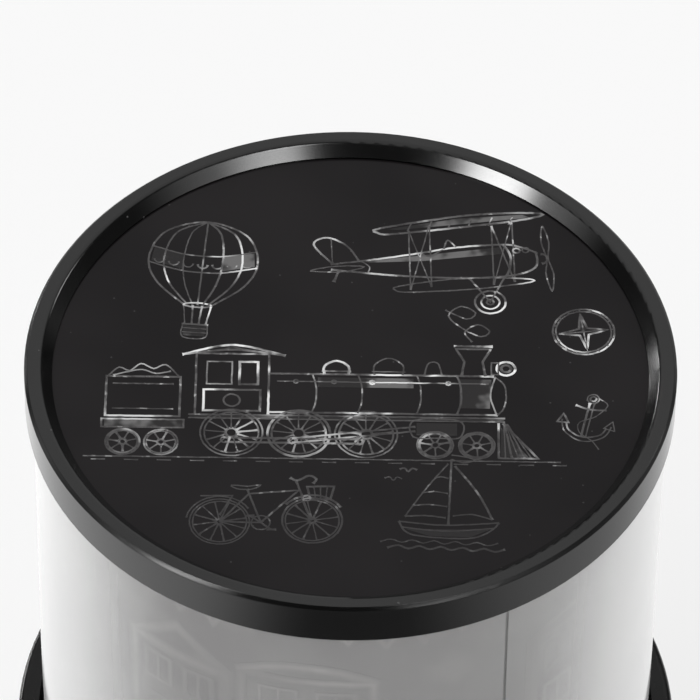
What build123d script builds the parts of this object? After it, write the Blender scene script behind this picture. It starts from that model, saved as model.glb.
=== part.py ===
from build123d import *
import math
import os

# Projector night light. A round black base holds a motor, a gear train and a fixed lamp
# column. A turning plate inside the rim of the base carries a pale tube with a film strip
# in it, and a printed film lies on a clear window at the top, under a push-on black ring.
# Millimetres, +Z up, origin on the floor under the middle of the base.

# Driving sizes of the whole
overall_height = 146.0
base_height = 46.9
ring_radius = 60.0

# Gaps and fits
overrun = 2.0            # how far a cutting shape runs past what it cuts
slide_gap = 0.3          # between parts that lift off each other
seat_gap = 0.1           # between flat faces that rest on each other
bond_gap = 0.05          # between parts that are glued or pushed together
running_gap = 0.06       # between a shaft and its bearing
loose_gap = 0.3          # round plates that drop into a frame

# Top ring
ring_height = 8.65
ring_lip = 3.0
ring_bevel_run = 2.1
ring_bevel_drop = 2.3
ring_inner_step = 0.4
ring_edge_run = 0.58
ring_edge_drop = 0.63
ring_edge_round = 0.15
ring_lip_round = 1.1
ring_foot_chamfer = 0.2
ring_skirt = 1.9

# Films and window
film_thickness = 0.25
film_inset = 0.3
window_thickness = 1.5
film_seam_gap = 0.6
film_seam_angle = 301.0

# Cover tube
tube_overhang = 1.5      # how far the ring stands out past the tube
tube_wall = 2.0
tube_tuck = 0.7          # the foot of the tube draws in by this much
tube_tuck_height = 27.0
ledge_width = 3.0
ledge_thickness = 1.5
foot_ring_wall = 1.6
foot_ring_height = 8.0
foot_key_count = 3
foot_key_width = 8.0
foot_key_depth = 1.7
foot_key_height = 5.0

# Base housing
housing_wall = 2.2
rim_gap = 0.5            # between the tube and the rim round it
rim_width = 4.5
rim_thickness = 2.2
rim_round = 1.5
rim_inner_chamfer = 0.5
base_foot_chamfer = 1.2
housing_boss_height = 5.5

# Bottom cover, its screws and the feet
floor_gap = 1.5          # the bottom cover stands this high above the floor
bottom_thickness = 2.2
screw_count = 4
screw_first_angle = 45.0
screw_shank_radius = 1.25
screw_head_radius = 2.4
screw_head_height = 1.8
screw_head_sink = 1.2
screw_fit = 0.25         # round a screw that passes through a piece
thread_fit = 0.05        # round a screw in the boss that it bites into
pillar_radius = 3.4
pillar_inset = 0.8       # between a pillar and the wall of the housing
foot_inset = 3.4
foot_radius = 5.0
foot_pocket_depth = 1.0

# Drive deck, the plate that carries motor, gears and lamp column
deck_thickness = 2.4
deck_collar_wall = 1.6
deck_collar_height = 2.4

# Turning plate
plate_drop = 4.0         # from the rim of the base down to the plate
plate_thickness = 2.6
plate_inset = 0.3
collar_wall = 2.0
collar_height = 7.0
hub_wall = 2.5
hub_rise = 2.0
hub_shoulder = 2.3
hub_key_count = 3
hub_key_width = 3.0
hub_key_depth = 1.5
washer_width = 3.7
washer_thickness = 0.8

# Gear train
ring_gear_teeth = 60
idler_teeth = 20
pinion_teeth = 12
gear_width = 5.4
gear_lift = 2.0          # from the deck up to the underside of the gears
gear_backlash = 0.16
gear_rim = 2.6
gear_web = 2.6
gear_hub_wall = 2.6
gear_hole_count = 6
gear_hole_radius = 3.4
idler_angle = 98.0
train_bend_angle = 78.0  # at the idler, between outward and the way to the pinion
pressure_angle = 20.0
addendum_share = 0.8
dedendum_share = 1.05
axle_radius = 1.5
axle_boss_wall = 1.6
axle_groove_depth = 0.3
clip_thickness = 0.5
clip_width = 1.5
clip_mouth_angle = 70.0
axle_headroom = 0.8      # between the top of the axle and the turning plate

# Gear motor
motor_radius = 12.0
motor_height = 10.5
motor_inset = 3.4        # between the motor and the wall of the housing
motor_cap_round = 1.0
motor_nose_radius = 3.5
motor_nose_height = 3.8
motor_ear_reach = 15.5
motor_ear_width = 5.0
motor_ear_thickness = 1.2
motor_ear_angle = 60.0
shaft_flat_share = 0.6
shaft_depth = 8.0
small_screw_radius = 1.0
small_head_radius = 2.0
small_head_height = 1.4

# Lamp column and lamp
column_radius = 9.0
column_wall = 1.8
column_rise = 20.0       # above the turning plate
column_flange = 6.5
column_flange_thickness = 2.6
column_screw_count = 3
sink_radius = 14.0
sink_height = 5.0
sink_top_plate = 1.6
sink_fin_count = 12
sink_slot_width = 2.0
sink_slot_depth = 4.0
sink_spigot_length = 6.0
board_thickness = 1.6
led_board_radius = 9.6
white_led_width = 3.5
led_height = 0.8
led_dome_radius = 1.3
colour_led_width = 2.2
colour_led_circle = 5.2
colour_led_count = 3
lens_radius = 10.6
lens_wall = 1.0
lens_flange = 1.2
lens_flange_height = 1.0
lens_ring_wall = 1.2
lens_ring_lip = 0.8

# Buttons and their board
button_count = 3
button_spacing = 15.0
button_radius = 4.5
button_hole_gap = 0.25
button_proud = 0.9
button_flange = 1.3
button_flange_thickness = 1.2
button_stem_radius = 2.0
button_travel = 0.6
button_free_play = 0.08
button_edge_round = 0.5
switch_width = 6.0
switch_depth = 3.6
switch_plunger_radius = 1.6
switch_plunger_reach = 0.9
control_board_margin = 8.0
control_board_end_gap = 3.0
board_post_width = 3.0
board_post_depth = 5.0
board_slot_depth = 1.2

# Power socket
socket_width = 8.9
socket_height = 3.2
socket_depth = 7.6
socket_wall = 0.4
socket_tongue_width = 6.4
socket_tongue_height = 0.8
socket_tongue_depth = 5.4
socket_gap = 0.3
socket_recess_width = 13.0
socket_recess_height = 7.4
socket_recess_depth = 0.9
power_board_width = 17.0
power_board_depth = 17.0
power_board_lift = 4.0   # from the bottom cover up to the power board
power_rib_width = 2.0

# Battery bay
cell_count = 4
cell_radius = 5.25
cell_length = 44.5
cell_nub_radius = 1.9
cell_nub_length = 1.0
cell_edge_round = 0.5
cell_gap = 0.4
contact_thickness = 0.4
contact_width = 7.6
contact_height = 8.0
contact_button_radius = 1.6
contact_button_height = 0.8
leaf_reach = 4.4
leaf_width = 4.0
bay_wall = 1.6
bay_headroom = 0.5
door_thickness = 2.0
door_tab_length = 8.4
door_tab_width = 13.0
door_hook_width = 6.0
door_hook_reach = 1.2
door_hook_thickness = 1.2
door_rib_height = 0.6
door_rib_width = 1.0
door_rib_count = 5
door_step_height = 2.2

# Heights worked out from the sizes
ring_foot = overall_height - ring_height
film_top = overall_height - ring_bevel_drop - ring_inner_step
window_top = film_top - film_thickness
window_under = window_top - window_thickness
ledge_under = window_under - ledge_thickness
plate_top = base_height - plate_drop
plate_under = plate_top - plate_thickness
axle_end = 2 * (clip_thickness + seat_gap)
gear_high = plate_under - axle_headroom - axle_end
gear_low = gear_high - gear_width
deck_top = gear_low - gear_lift
deck_under = deck_top - deck_thickness
bottom_top = floor_gap + bottom_thickness
button_height = (bottom_top + deck_under) / 2
washer_top = deck_top + washer_thickness
tube_foot = plate_top + seat_gap
column_top = plate_top + column_rise
sink_top = column_top + sink_height
led_board_top = sink_top + board_thickness

# Radii worked out from the sizes
opening_radius = ring_radius - ring_lip - ring_bevel_run
skirt_inner = ring_radius - ring_skirt
neck_radius = skirt_inner - slide_gap
tube_radius = ring_radius - tube_overhang
tube_inner = tube_radius - tube_wall
window_radius = tube_inner - bond_gap
film_radius = window_radius - film_inset
foot_ring_outer = tube_inner - bond_gap
foot_ring_inner = foot_ring_outer - foot_ring_wall
collar_radius = foot_ring_inner - slide_gap
plate_radius = tube_radius - plate_inset
rim_opening = tube_radius + rim_gap
base_radius = rim_opening + rim_width
housing_inner = base_radius - housing_wall
deck_radius = housing_inner - loose_gap
screw_circle = housing_inner - pillar_inset - pillar_radius
foot_circle = housing_inner - foot_inset - foot_radius
hub_bore = column_radius + running_gap
hub_radius = hub_bore + hub_wall
hub_key_radius = hub_radius + hub_key_depth
screw_bore = screw_shank_radius + screw_fit
axle_bore = axle_radius + running_gap

# Gear centres. The idler meshes with the ring gear and the pinion with the idler, and the
# module is what brings the motor on the pinion's axis to its place beside the housing wall
pinion_circle = housing_inner - motor_inset - motor_radius
idler_reach_teeth = (ring_gear_teeth + idler_teeth) / 2
pinion_reach_teeth = (idler_teeth + pinion_teeth) / 2
gear_module = pinion_circle / math.hypot(
    idler_reach_teeth + pinion_reach_teeth * math.cos(math.radians(train_bend_angle)),
    pinion_reach_teeth * math.sin(math.radians(train_bend_angle)))
ring_gear_pitch = gear_module * ring_gear_teeth / 2
idler_pitch = gear_module * idler_teeth / 2
pinion_pitch = gear_module * pinion_teeth / 2
idler_circle = ring_gear_pitch + idler_pitch
idler_to_pinion = idler_pitch + pinion_pitch


def polar(radius, angle):
    return radius * math.cos(math.radians(angle)), radius * math.sin(math.radians(angle))


idler_x, idler_y = polar(idler_circle, idler_angle)
step_x, step_y = polar(idler_to_pinion, idler_angle + train_bend_angle)
pinion_x, pinion_y = idler_x + step_x, idler_y + step_y
at_pinion = Pos(pinion_x, pinion_y, 0)
column_screw_circle = column_radius + column_flange / 2


# Shapes that several pieces use

def rod(radius, low, high, x=0, y=0):
    upright = Cylinder(radius, high - low, align=(Align.CENTER, Align.CENTER, Align.MIN))
    return Pos(x, y, low) * upright


def sleeve(outer, inner, low, high, x=0, y=0):
    return rod(outer, low, high, x, y) - rod(inner, low - overrun, high + overrun, x, y)


def block(x_low, x_high, y_low, y_high, z_low, z_high):
    corner = (Align.MIN, Align.MIN, Align.MIN)
    return Pos(x_low, y_low, z_low) * Box(x_high - x_low, y_high - y_low, z_high - z_low, align=corner)


def rod_along_y(radius, y_low, y_high, x, z):
    lying = Cylinder(radius, y_high - y_low, align=(Align.CENTER, Align.CENTER, Align.MIN))
    return Pos(x, y_low, z) * Rot(-90, 0, 0) * lying


def slot_along_y(width, height, y_low, y_high, x, z):
    outline = SlotOverall(width, height)
    return Pos(x, y_low, z) * Rot(-90, 0, 0) * extrude(outline, y_high - y_low)


def turned(points):
    outline = Polyline(*[(radius, 0, height) for radius, height in points], close=True)
    return revolve(make_face(outline), Axis.Z)


def around(shape, count, first_angle=0.0):
    return [Rot(0, 0, first_angle + 360 * i / count) * shape for i in range(count)]


def screw(shank_radius, head_radius, head_height, low, high, x=0, y=0):
    # The head is at the low end, as on every screw of this object
    head = rod(head_radius, low, low + head_height, x, y)
    recess = rod(shank_radius, low - overrun, low + head_height / 2, x, y)
    return head - recess + rod(shank_radius, low + head_height, high, x, y)


def write(node, shape):
    export_step(shape, f"parts/{node}.step")


# Top ring, films and window

def top_ring():
    flange_under = film_top + bond_gap
    ring = turned([
        (ring_radius - ring_lip, overall_height),
        (ring_radius - ring_edge_run, overall_height),
        (ring_radius, overall_height - ring_edge_drop),
        (ring_radius, ring_foot + ring_foot_chamfer),
        (ring_radius - ring_foot_chamfer, ring_foot),
        (skirt_inner, ring_foot),
        (skirt_inner, flange_under),
        (opening_radius, flange_under),
        (opening_radius, film_top + ring_inner_step),
    ])
    circles = ring.edges().filter_by(GeomType.CIRCLE)
    edge_top = circles.group_by(Axis.Z)[-1].sort_by(SortBy.RADIUS)[-1]
    edge_foot = circles.group_by(SortBy.RADIUS)[-1].sort_by(Axis.Z)[-1]
    ring = fillet([edge_top, edge_foot], ring_edge_round)
    lip_edges = ring.edges().filter_by(GeomType.CIRCLE).group_by(Axis.Z)[-1].sort_by(SortBy.RADIUS)
    return fillet(lip_edges[0], ring_lip_round)


def top_film():
    return rod(film_radius, window_top, film_top)


def film_window():
    return rod(window_radius, window_under, window_top)


def side_film():
    # A strip bent to a round, with a narrow seam where its ends meet
    outer = tube_inner - slide_gap
    low = tube_foot + foot_ring_height + seat_gap
    strip = sleeve(outer, outer - film_thickness, low, ledge_under - seat_gap)
    seam = block(0, tube_radius, -film_seam_gap / 2, film_seam_gap / 2, low - overrun, film_top)
    return strip - Rot(0, 0, film_seam_angle) * seam


# Cover tube and its keyed foot

def cover_tube():
    shoulder = ring_foot - slide_gap
    neck_top = film_top - film_thickness
    tuck_top = tube_foot + tube_tuck_height
    bend = ThreePointArc(
        (tube_radius - tube_tuck, 0, tube_foot),
        (tube_radius - tube_tuck / 4, 0, tube_foot + tube_tuck_height / 2),
        (tube_radius, 0, tuck_top))
    rest = Polyline(
        (tube_radius, 0, tuck_top), (tube_radius, 0, shoulder), (neck_radius, 0, shoulder),
        (neck_radius, 0, neck_top), (tube_inner, 0, neck_top), (tube_inner, 0, window_under),
        (tube_inner - ledge_width, 0, window_under), (tube_inner - ledge_width, 0, ledge_under),
        (tube_inner, 0, ledge_under), (tube_inner, 0, tube_foot),
        (tube_radius - tube_tuck, 0, tube_foot))
    return revolve(make_face(bend + rest), Axis.Z)


def foot_key(width, depth, low, high):
    into_ring = foot_ring_inner + foot_ring_wall / 2
    return block(foot_ring_inner - depth, into_ring, -width / 2, width / 2, low, high)


def cover_foot():
    ring = sleeve(foot_ring_outer, foot_ring_inner, tube_foot, tube_foot + foot_ring_height)
    key = foot_key(foot_key_width, foot_key_depth, tube_foot, tube_foot + foot_key_height)
    for one in around(key, foot_key_count):
        ring += one
    return ring


# Turning plate, its gear and the washer it turns on

def hub_key(width, radius, low, high):
    return block(hub_bore + hub_wall / 2, radius, -width / 2, width / 2, low, high)


def turntable():
    plate = rod(plate_radius, plate_under, plate_top)
    plate += sleeve(collar_radius, collar_radius - collar_wall, plate_under, plate_top + collar_height)
    notch = block(
        collar_radius - collar_wall - overrun, collar_radius + overrun,
        -foot_key_width / 2 - slide_gap, foot_key_width / 2 + slide_gap,
        plate_top, plate_top + collar_height + overrun)
    for one in around(notch, foot_key_count):
        plate -= one
    plate += rod(hub_radius, washer_top + seat_gap, plate_top + hub_rise)
    plate += rod(hub_radius + hub_shoulder, gear_high + bond_gap, plate_under)
    key = hub_key(hub_key_width, hub_key_radius, gear_low, gear_high + bond_gap)
    for one in around(key, hub_key_count):
        plate += one
    return plate - rod(hub_bore, deck_under, plate_top + hub_rise + overrun)


def gear_outline(teeth, first_tooth):
    # Involute flanks as chords between the root, base, pitch and tip circles
    pitch = gear_module * teeth / 2
    base = pitch * math.cos(math.radians(pressure_angle))
    root = pitch - gear_module * dedendum_share
    tip = pitch + gear_module * addendum_share

    def involute(radius):
        lean = math.acos(min(1.0, base / radius))
        return math.tan(lean) - lean

    def half_tooth(radius):
        at_pitch = math.pi / (2 * teeth) - gear_backlash / (2 * pitch)
        return at_pitch + involute(pitch) - involute(max(radius, base))

    levels = sorted({root, max(root, base), pitch, tip})
    points = []
    for i in range(teeth):
        middle = math.radians(first_tooth) + 2 * math.pi * i / teeth
        rising = [(radius, middle - half_tooth(radius)) for radius in levels]
        falling = [(radius, middle + half_tooth(radius)) for radius in reversed(levels)]
        points += [(r * math.cos(a), r * math.sin(a)) for r, a in rising + falling]
    return make_face(Polyline(*points, close=True))


def gear_disc(teeth, first_tooth, x=0, y=0):
    return Pos(x, y, gear_low) * extrude(gear_outline(teeth, first_tooth), gear_width)


def ring_gear():
    # One tooth points at the idler. The hub runs down to the washer and so keeps the gear in place
    gear = gear_disc(ring_gear_teeth, idler_angle)
    web_outer = ring_gear_pitch - gear_module * dedendum_share - gear_rim
    hub_outer = hub_key_radius + gear_hub_wall
    pocket = (gear_width - gear_web) / 2
    gear -= sleeve(web_outer, hub_outer, gear_high - pocket, gear_high + overrun)
    gear -= sleeve(web_outer, hub_outer, gear_low - overrun, gear_low + pocket)
    gear += rod(hub_key_radius, washer_top + seat_gap, gear_low + pocket)
    hole_circle = (web_outer + hub_outer) / 2
    hole = rod(min(gear_hole_radius, (web_outer - hub_outer) / 3), gear_low, gear_high, hole_circle)
    for one in around(hole, gear_hole_count):
        gear -= one
    gear -= rod(hub_radius + bond_gap, deck_top, gear_high + overrun)
    keyway = hub_key(hub_key_width + 2 * bond_gap, hub_key_radius + bond_gap, gear_low, gear_high + overrun)
    for one in around(keyway, hub_key_count):
        gear -= one
    return gear


def thrust_washer():
    inner = column_radius + running_gap
    return sleeve(inner + washer_width, inner, deck_top, washer_top)


# Idler on its axle

def idler_first_tooth():
    # A gap between teeth faces the ring gear's tooth
    return idler_angle + 180 + 180 / idler_teeth


def idler_gear():
    gear = gear_disc(idler_teeth, idler_first_tooth(), idler_x, idler_y)
    root = idler_pitch - gear_module * dedendum_share
    pocket = (gear_width - gear_web) / 2
    groove = sleeve(
        root - gear_rim / 2, axle_bore + gear_hub_wall,
        gear_high - pocket, gear_high + overrun, idler_x, idler_y)
    return gear - groove - rod(axle_bore, deck_top, gear_high + overrun, idler_x, idler_y)


def idler_axle():
    low = deck_top - deck_thickness / 2
    groove_low = gear_high + seat_gap
    groove = sleeve(
        axle_radius + overrun, axle_radius - axle_groove_depth,
        groove_low, groove_low + clip_thickness + seat_gap, idler_x, idler_y)
    return rod(axle_radius, low, gear_high + axle_end, idler_x, idler_y) - groove


def idler_clip():
    low = gear_high + seat_gap + seat_gap / 2
    bore = axle_radius - axle_groove_depth + bond_gap
    ring = sleeve(bore + clip_width, bore, low, low + clip_thickness)
    reach = 2 * (bore + clip_width)
    side_x, side_y = polar(reach, clip_mouth_angle / 2)
    mouth = make_face(Polyline((0, 0), (side_x, side_y), (side_x, -side_y), close=True))
    ring -= Pos(0, 0, low - overrun) * extrude(mouth, clip_thickness + 2 * overrun)
    return Pos(idler_x, idler_y, 0) * Rot(0, 0, idler_angle) * ring


# Motor, its shaft and the pinion

def pinion_first_tooth():
    # The pinion's gap meets the idler's tooth on the line between their centres
    line = math.degrees(math.atan2(pinion_y - idler_y, pinion_x - idler_x))
    pitch_angle = 360 / idler_teeth
    offset = (idler_first_tooth() - line) % pitch_angle
    return line + 180 - offset * idler_teeth / pinion_teeth + 180 / pinion_teeth


def d_section(radius, low, high):
    far = radius + overrun
    flat = block(radius * shaft_flat_share, far, -far, far, low, high + overrun)
    return rod(radius, low, high) - flat


def motor_pinion():
    gear = gear_disc(pinion_teeth, pinion_first_tooth(), pinion_x, pinion_y)
    bore = d_section(axle_radius + bond_gap, gear_low - overrun, gear_high + overrun)
    return gear - at_pinion * bore


def motor_shaft():
    plain = rod(axle_radius, deck_under - shaft_depth, gear_low - bond_gap, pinion_x, pinion_y)
    return plain + at_pinion * d_section(axle_radius, gear_low - bond_gap, gear_high)


def motor_ears(radius, low, high):
    ends = [Pos(reach, 0, 0) * rod(radius, low, high) for reach in (-motor_ear_reach, motor_ear_reach)]
    return [at_pinion * Rot(0, 0, motor_ear_angle) * end for end in ends]


def gear_motor():
    can_low = deck_under - motor_height
    can = rod(motor_radius, can_low, deck_under)
    can = fillet(can.edges().group_by(Axis.Z)[0], motor_cap_round)
    # The gearbox half stands a little proud of the motor half
    seam = deck_under - motor_height / 2
    can -= sleeve(motor_radius + overrun, motor_radius - motor_cap_round / 2, can_low - overrun, seam)
    nose = rod(motor_nose_radius, deck_under, deck_under + motor_nose_height)
    body = at_pinion * (can + nose)
    low = deck_under - motor_ear_thickness
    bar = block(-motor_ear_reach, motor_ear_reach, -motor_ear_width / 2, motor_ear_width / 2, low, deck_under)
    body += at_pinion * Rot(0, 0, motor_ear_angle) * bar
    for end in motor_ears(motor_ear_width / 2, low, deck_under):
        body += end
    for hole in motor_ears(small_screw_radius + screw_fit, low - overrun, deck_under + overrun):
        body -= hole
    bore_low = deck_under - shaft_depth - seat_gap
    return body - at_pinion * rod(axle_bore, bore_low, deck_top + motor_nose_height)


def motor_screws():
    low = deck_under - motor_ear_thickness - small_head_height
    one = screw(small_screw_radius, small_head_radius, small_head_height, low, deck_top)
    pair = [Pos(reach, 0, 0) * one for reach in (-motor_ear_reach, motor_ear_reach)]
    return Compound(children=[at_pinion * Rot(0, 0, motor_ear_angle) * place for place in pair])


# Deck

def drive_deck():
    deck = rod(deck_radius, deck_under, deck_top)
    deck += rod(axle_bore + axle_boss_wall, deck_top, gear_low - seat_gap, idler_x, idler_y)
    outer_collar = column_radius + 2 * running_gap + washer_width + slide_gap + deck_collar_wall
    deck += sleeve(outer_collar, outer_collar - deck_collar_wall, deck_under, deck_top + washer_thickness)
    # A light wall runs round the drive, under the turning plate
    wall_outer = screw_circle - pillar_radius - slide_gap
    wall = sleeve(wall_outer, wall_outer - deck_collar_wall, deck_under, deck_top + deck_collar_height)
    deck += wall - rod(idler_pitch, deck_top, gear_high, pinion_x, pinion_y)
    deck -= rod(column_radius + bond_gap, deck_under - overrun, deck_top + overrun)
    deck -= rod(axle_radius + bond_gap / 2, deck_top - deck_thickness / 2, gear_high, idler_x, idler_y)
    deck -= rod(motor_nose_radius + screw_fit, deck_under - overrun, deck_top + overrun, pinion_x, pinion_y)
    for hole in motor_ears(small_screw_radius + thread_fit, deck_under - overrun, deck_top + overrun):
        deck -= hole
    cut_low, cut_high = deck_under - overrun, deck_top + overrun
    pilot = rod(small_screw_radius + thread_fit, cut_low, cut_high, column_screw_circle)
    for one in around(pilot, column_screw_count):
        deck -= one
    passage = rod(screw_bore, cut_low, cut_high, screw_circle)
    for one in around(passage, screw_count, screw_first_angle):
        deck -= one
    return deck


# Lamp column and lamp

def lamp_column():
    flange_low = deck_under - column_flange_thickness
    column = rod(column_radius, flange_low, column_top)
    column += rod(column_radius + column_flange, flange_low, deck_under)
    hole_radius = small_screw_radius + screw_fit
    hole = rod(hole_radius, flange_low - overrun, deck_under + overrun, column_screw_circle)
    # The heads are sunk in the flange, so they stay clear of the battery bay under it
    head_top = flange_low + small_head_height
    hole += rod(small_head_radius + screw_fit, flange_low - overrun, head_top, column_screw_circle)
    for one in around(hole, column_screw_count):
        column -= one
    return column - rod(column_radius - column_wall, flange_low - overrun, column_top + overrun)


def column_screws():
    low = deck_under - column_flange_thickness
    one = screw(small_screw_radius, small_head_radius, small_head_height, low, deck_top, column_screw_circle)
    return Compound(children=around(one, column_screw_count))


def heat_sink():
    sink = rod(sink_radius, column_top, sink_top)
    slot = block(
        sink_radius - sink_slot_depth, sink_radius + overrun, -sink_slot_width / 2, sink_slot_width / 2,
        column_top - overrun, sink_top - sink_top_plate)
    for one in around(slot, sink_fin_count):
        sink -= one
    return sink + rod(column_radius - column_wall - bond_gap, column_top - sink_spigot_length, column_top)


def led_board():
    outline = RegularPolygon(led_board_radius, 6)
    return Pos(0, 0, sink_top) * extrude(outline, board_thickness)


def white_led():
    half = white_led_width / 2
    package = block(-half, half, -half, half, led_board_top, led_board_top + led_height)
    dome = Pos(0, 0, led_board_top + led_height) * Sphere(led_dome_radius)
    upper = rod(led_dome_radius * 2, led_board_top + led_height / 2, led_board_top + led_board_radius)
    return package + (dome & upper)


def colour_leds():
    half = colour_led_width / 2
    package = block(
        colour_led_circle - half, colour_led_circle + half, -half, half,
        led_board_top, led_board_top + led_height)
    return Compound(children=around(package, colour_led_count, 90.0))


def lens_profile(radius, low):
    # A quarter disc, turned to a dome
    arc = CenterArc((0, 0, 0), radius, 0, 90)
    quarter = make_face(arc + Line(arc @ 1, (0, 0)) + Line((0, 0), arc @ 0))
    return Pos(0, 0, low) * revolve(Rot(90, 0, 0) * quarter, Axis.Z)


def lamp_lens():
    low = led_board_top + seat_gap
    lens = lens_profile(lens_radius, low) + rod(lens_radius + lens_flange, low, low + lens_flange_height)
    return lens - lens_profile(lens_radius - lens_wall, low)


def lens_ring():
    # The ring stands on the heat sink round the board, and holds the lens by its flange
    flange_radius = lens_radius + lens_flange + bond_gap
    outer = flange_radius + lens_ring_wall
    lip_low = led_board_top + seat_gap + lens_flange_height + bond_gap
    ring_high = lip_low + lens_ring_lip
    ring = rod(outer, sink_top, ring_high)
    ring -= rod(flange_radius, led_board_top + bond_gap, lip_low)
    ring -= rod(led_board_radius + slide_gap, sink_top - overrun, lip_low)
    return ring - rod(lens_radius + bond_gap, led_board_top + bond_gap, ring_high + overrun)


# Base housing with its bosses, button holes and socket opening

def button_places():
    middle = (button_count - 1) / 2
    return [(i - middle) * button_spacing for i in range(button_count)]


def socket_axis_height():
    return bottom_top + power_board_lift + board_thickness + socket_height / 2


def base_housing():
    rim_under = base_height - rim_thickness
    shell = turned([
        (housing_inner, floor_gap),
        (base_radius - base_foot_chamfer, floor_gap),
        (base_radius, floor_gap + base_foot_chamfer),
        (base_radius, base_height),
        (rim_opening + rim_inner_chamfer, base_height),
        (rim_opening, base_height - rim_inner_chamfer),
        (rim_opening, rim_under),
        (housing_inner, rim_under),
    ])
    rim = shell.edges().filter_by(GeomType.CIRCLE).group_by(Axis.Z)[-1].sort_by(SortBy.RADIUS)[-1]
    shell = fillet(rim, rim_round)
    boss_top = deck_top + housing_boss_height
    boss = rod(pillar_radius, deck_top, boss_top, screw_circle)
    rib_half = pillar_radius / 2
    boss += block(screw_circle, housing_inner + housing_wall / 2, -rib_half, rib_half, deck_top, boss_top)
    pilot_top = boss_top - bottom_thickness / 2
    boss -= rod(screw_shank_radius + thread_fit, deck_top - overrun, pilot_top, screw_circle)
    for one in around(boss, screw_count, screw_first_angle):
        shell += one
    hole_radius = button_radius + button_hole_gap
    for x in button_places():
        shell -= rod_along_y(hole_radius, -base_radius - overrun, -housing_inner / 2, x, button_height)
    z = socket_axis_height()
    far = base_radius + overrun
    shell -= slot_along_y(
        socket_width + 2 * socket_gap, socket_height + 2 * socket_gap, housing_inner / 2, far, 0, z)
    return shell - slot_along_y(
        socket_recess_width, socket_recess_height, base_radius - socket_recess_depth, far, 0, z)


# Buttons, switches and control board

def switch_face():
    # The switches end here, and a pressed button stops just short of it
    outermost = max(abs(x) for x in button_places()) + button_radius + button_flange
    flange_back = housing_inner - slide_gap - button_flange_thickness
    nearest = math.sqrt(flange_back ** 2 - outermost ** 2)
    return -(nearest - button_travel - button_free_play)


def board_face():
    return switch_face() + switch_plunger_reach + switch_depth


def button(x):
    # Cap and flange follow the curve of the housing, and the button slides straight in
    cap_front = base_radius + button_proud
    flange_front = housing_inner - slide_gap
    flange_back = flange_front - button_flange_thickness
    low, high = button_height - 2 * button_radius, button_height + 2 * button_radius
    outside, inside = -cap_front - overrun, -housing_inner / 2
    cap = rod_along_y(button_radius, outside, inside, x, button_height)
    cap &= sleeve(cap_front, flange_back, low, high)
    flange = rod_along_y(button_radius + button_flange, outside, inside, x, button_height)
    flange &= sleeve(flange_front, flange_back, low, high)
    stem_end = switch_face() - button_travel - button_free_play
    stem = rod_along_y(button_stem_radius, -flange_front, stem_end, x, button_height)
    stem &= rod(flange_front, low, high)
    cap = fillet(cap.faces().sort_by(Axis.Y)[0].edges(), button_edge_round)
    return cap + flange + stem


def tact_switches():
    half = switch_width / 2
    front = board_face() - switch_depth
    inside = front + switch_depth / 2
    switches = []
    for x in button_places():
        body = block(x - half, x + half, front, board_face(), button_height - half, button_height + half)
        plunger = rod_along_y(switch_plunger_radius, switch_face(), inside, x, button_height)
        switches.append(body + plunger)
    return Compound(children=switches)


control_board_low = bottom_top + control_board_end_gap
control_board_high = deck_under - control_board_end_gap
control_board_width = (button_count - 1) * button_spacing + switch_width + 2 * control_board_margin


def control_board():
    half = control_board_width / 2
    back = board_face() + board_thickness
    return block(-half, half, board_face(), back, control_board_low, control_board_high)


def board_posts():
    # Two slotted posts on the bottom cover hold the board by its ends
    half = control_board_width / 2
    front, back = board_face(), board_face() + board_thickness
    outside = (board_post_depth - board_thickness) / 2
    groove = block(
        -half - bond_gap, half + bond_gap, front - bond_gap, back + bond_gap,
        control_board_low, control_board_high + overrun)
    posts = []
    for side in (-1, 1):
        inner = side * (half - board_slot_depth)
        outer = side * (half - board_slot_depth + board_post_width)
        post = block(
            min(inner, outer), max(inner, outer), front - outside, back + outside,
            bottom_top, control_board_high)
        posts.append(post - groove)
    return posts


# Power socket and its board

def power_board():
    low = bottom_top + power_board_lift
    far = power_board_front()
    half = power_board_width / 2
    return block(-half, half, far - power_board_depth, far, low, low + board_thickness)


def power_board_front():
    half = power_board_width / 2
    return math.sqrt(housing_inner ** 2 - half ** 2) - loose_gap


def power_socket():
    # A flat oval steel shell with a contact tongue in its mouth
    z = socket_axis_height()
    mouth = base_radius - socket_recess_depth
    back = mouth - socket_depth
    floor = back + socket_wall
    inner_width = socket_width - 2 * socket_wall
    inner_height = socket_height - 2 * socket_wall
    shell = slot_along_y(socket_width, socket_height, back, mouth, 0, z)
    inner = slot_along_y(inner_width, inner_height, floor, mouth + overrun, 0, z)
    tongue = block(
        -socket_tongue_width / 2, socket_tongue_width / 2, back, floor + socket_tongue_depth,
        z - socket_tongue_height / 2, z + socket_tongue_height / 2)
    return shell - inner + tongue


def power_ribs():
    # The board rests on two ribs of the bottom cover
    far = power_board_front()
    half = power_board_width / 2
    ribs = []
    for side in (-1, 1):
        x = side * (half - power_rib_width / 2)
        ribs.append(block(
            x - power_rib_width / 2, x + power_rib_width / 2, far - power_board_depth, far,
            bottom_top, bottom_top + power_board_lift))
    return ribs


# Battery bay with its cells, contacts and door

cell_pitch = 2 * cell_radius + cell_gap
bay_half_width = cell_count * cell_pitch / 2
bay_half_length = (cell_length + leaf_reach + contact_button_height + 2 * contact_thickness) / 2
door_top = floor_gap + door_thickness
cell_axis_height = door_top + cell_gap + cell_radius
bay_top = cell_axis_height + cell_radius + bay_headroom
step_far = bay_half_length + door_tab_length
step_top = door_top + seat_gap + door_step_height
door_screw_x = bay_half_length + door_tab_length / 2


def cell_places():
    # Neighbouring cells point opposite ways, as they are wired in a row
    first = -(cell_count - 1) / 2
    return [((first + i) * cell_pitch, 1 if i % 2 == 0 else -1) for i in range(cell_count)]


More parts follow.
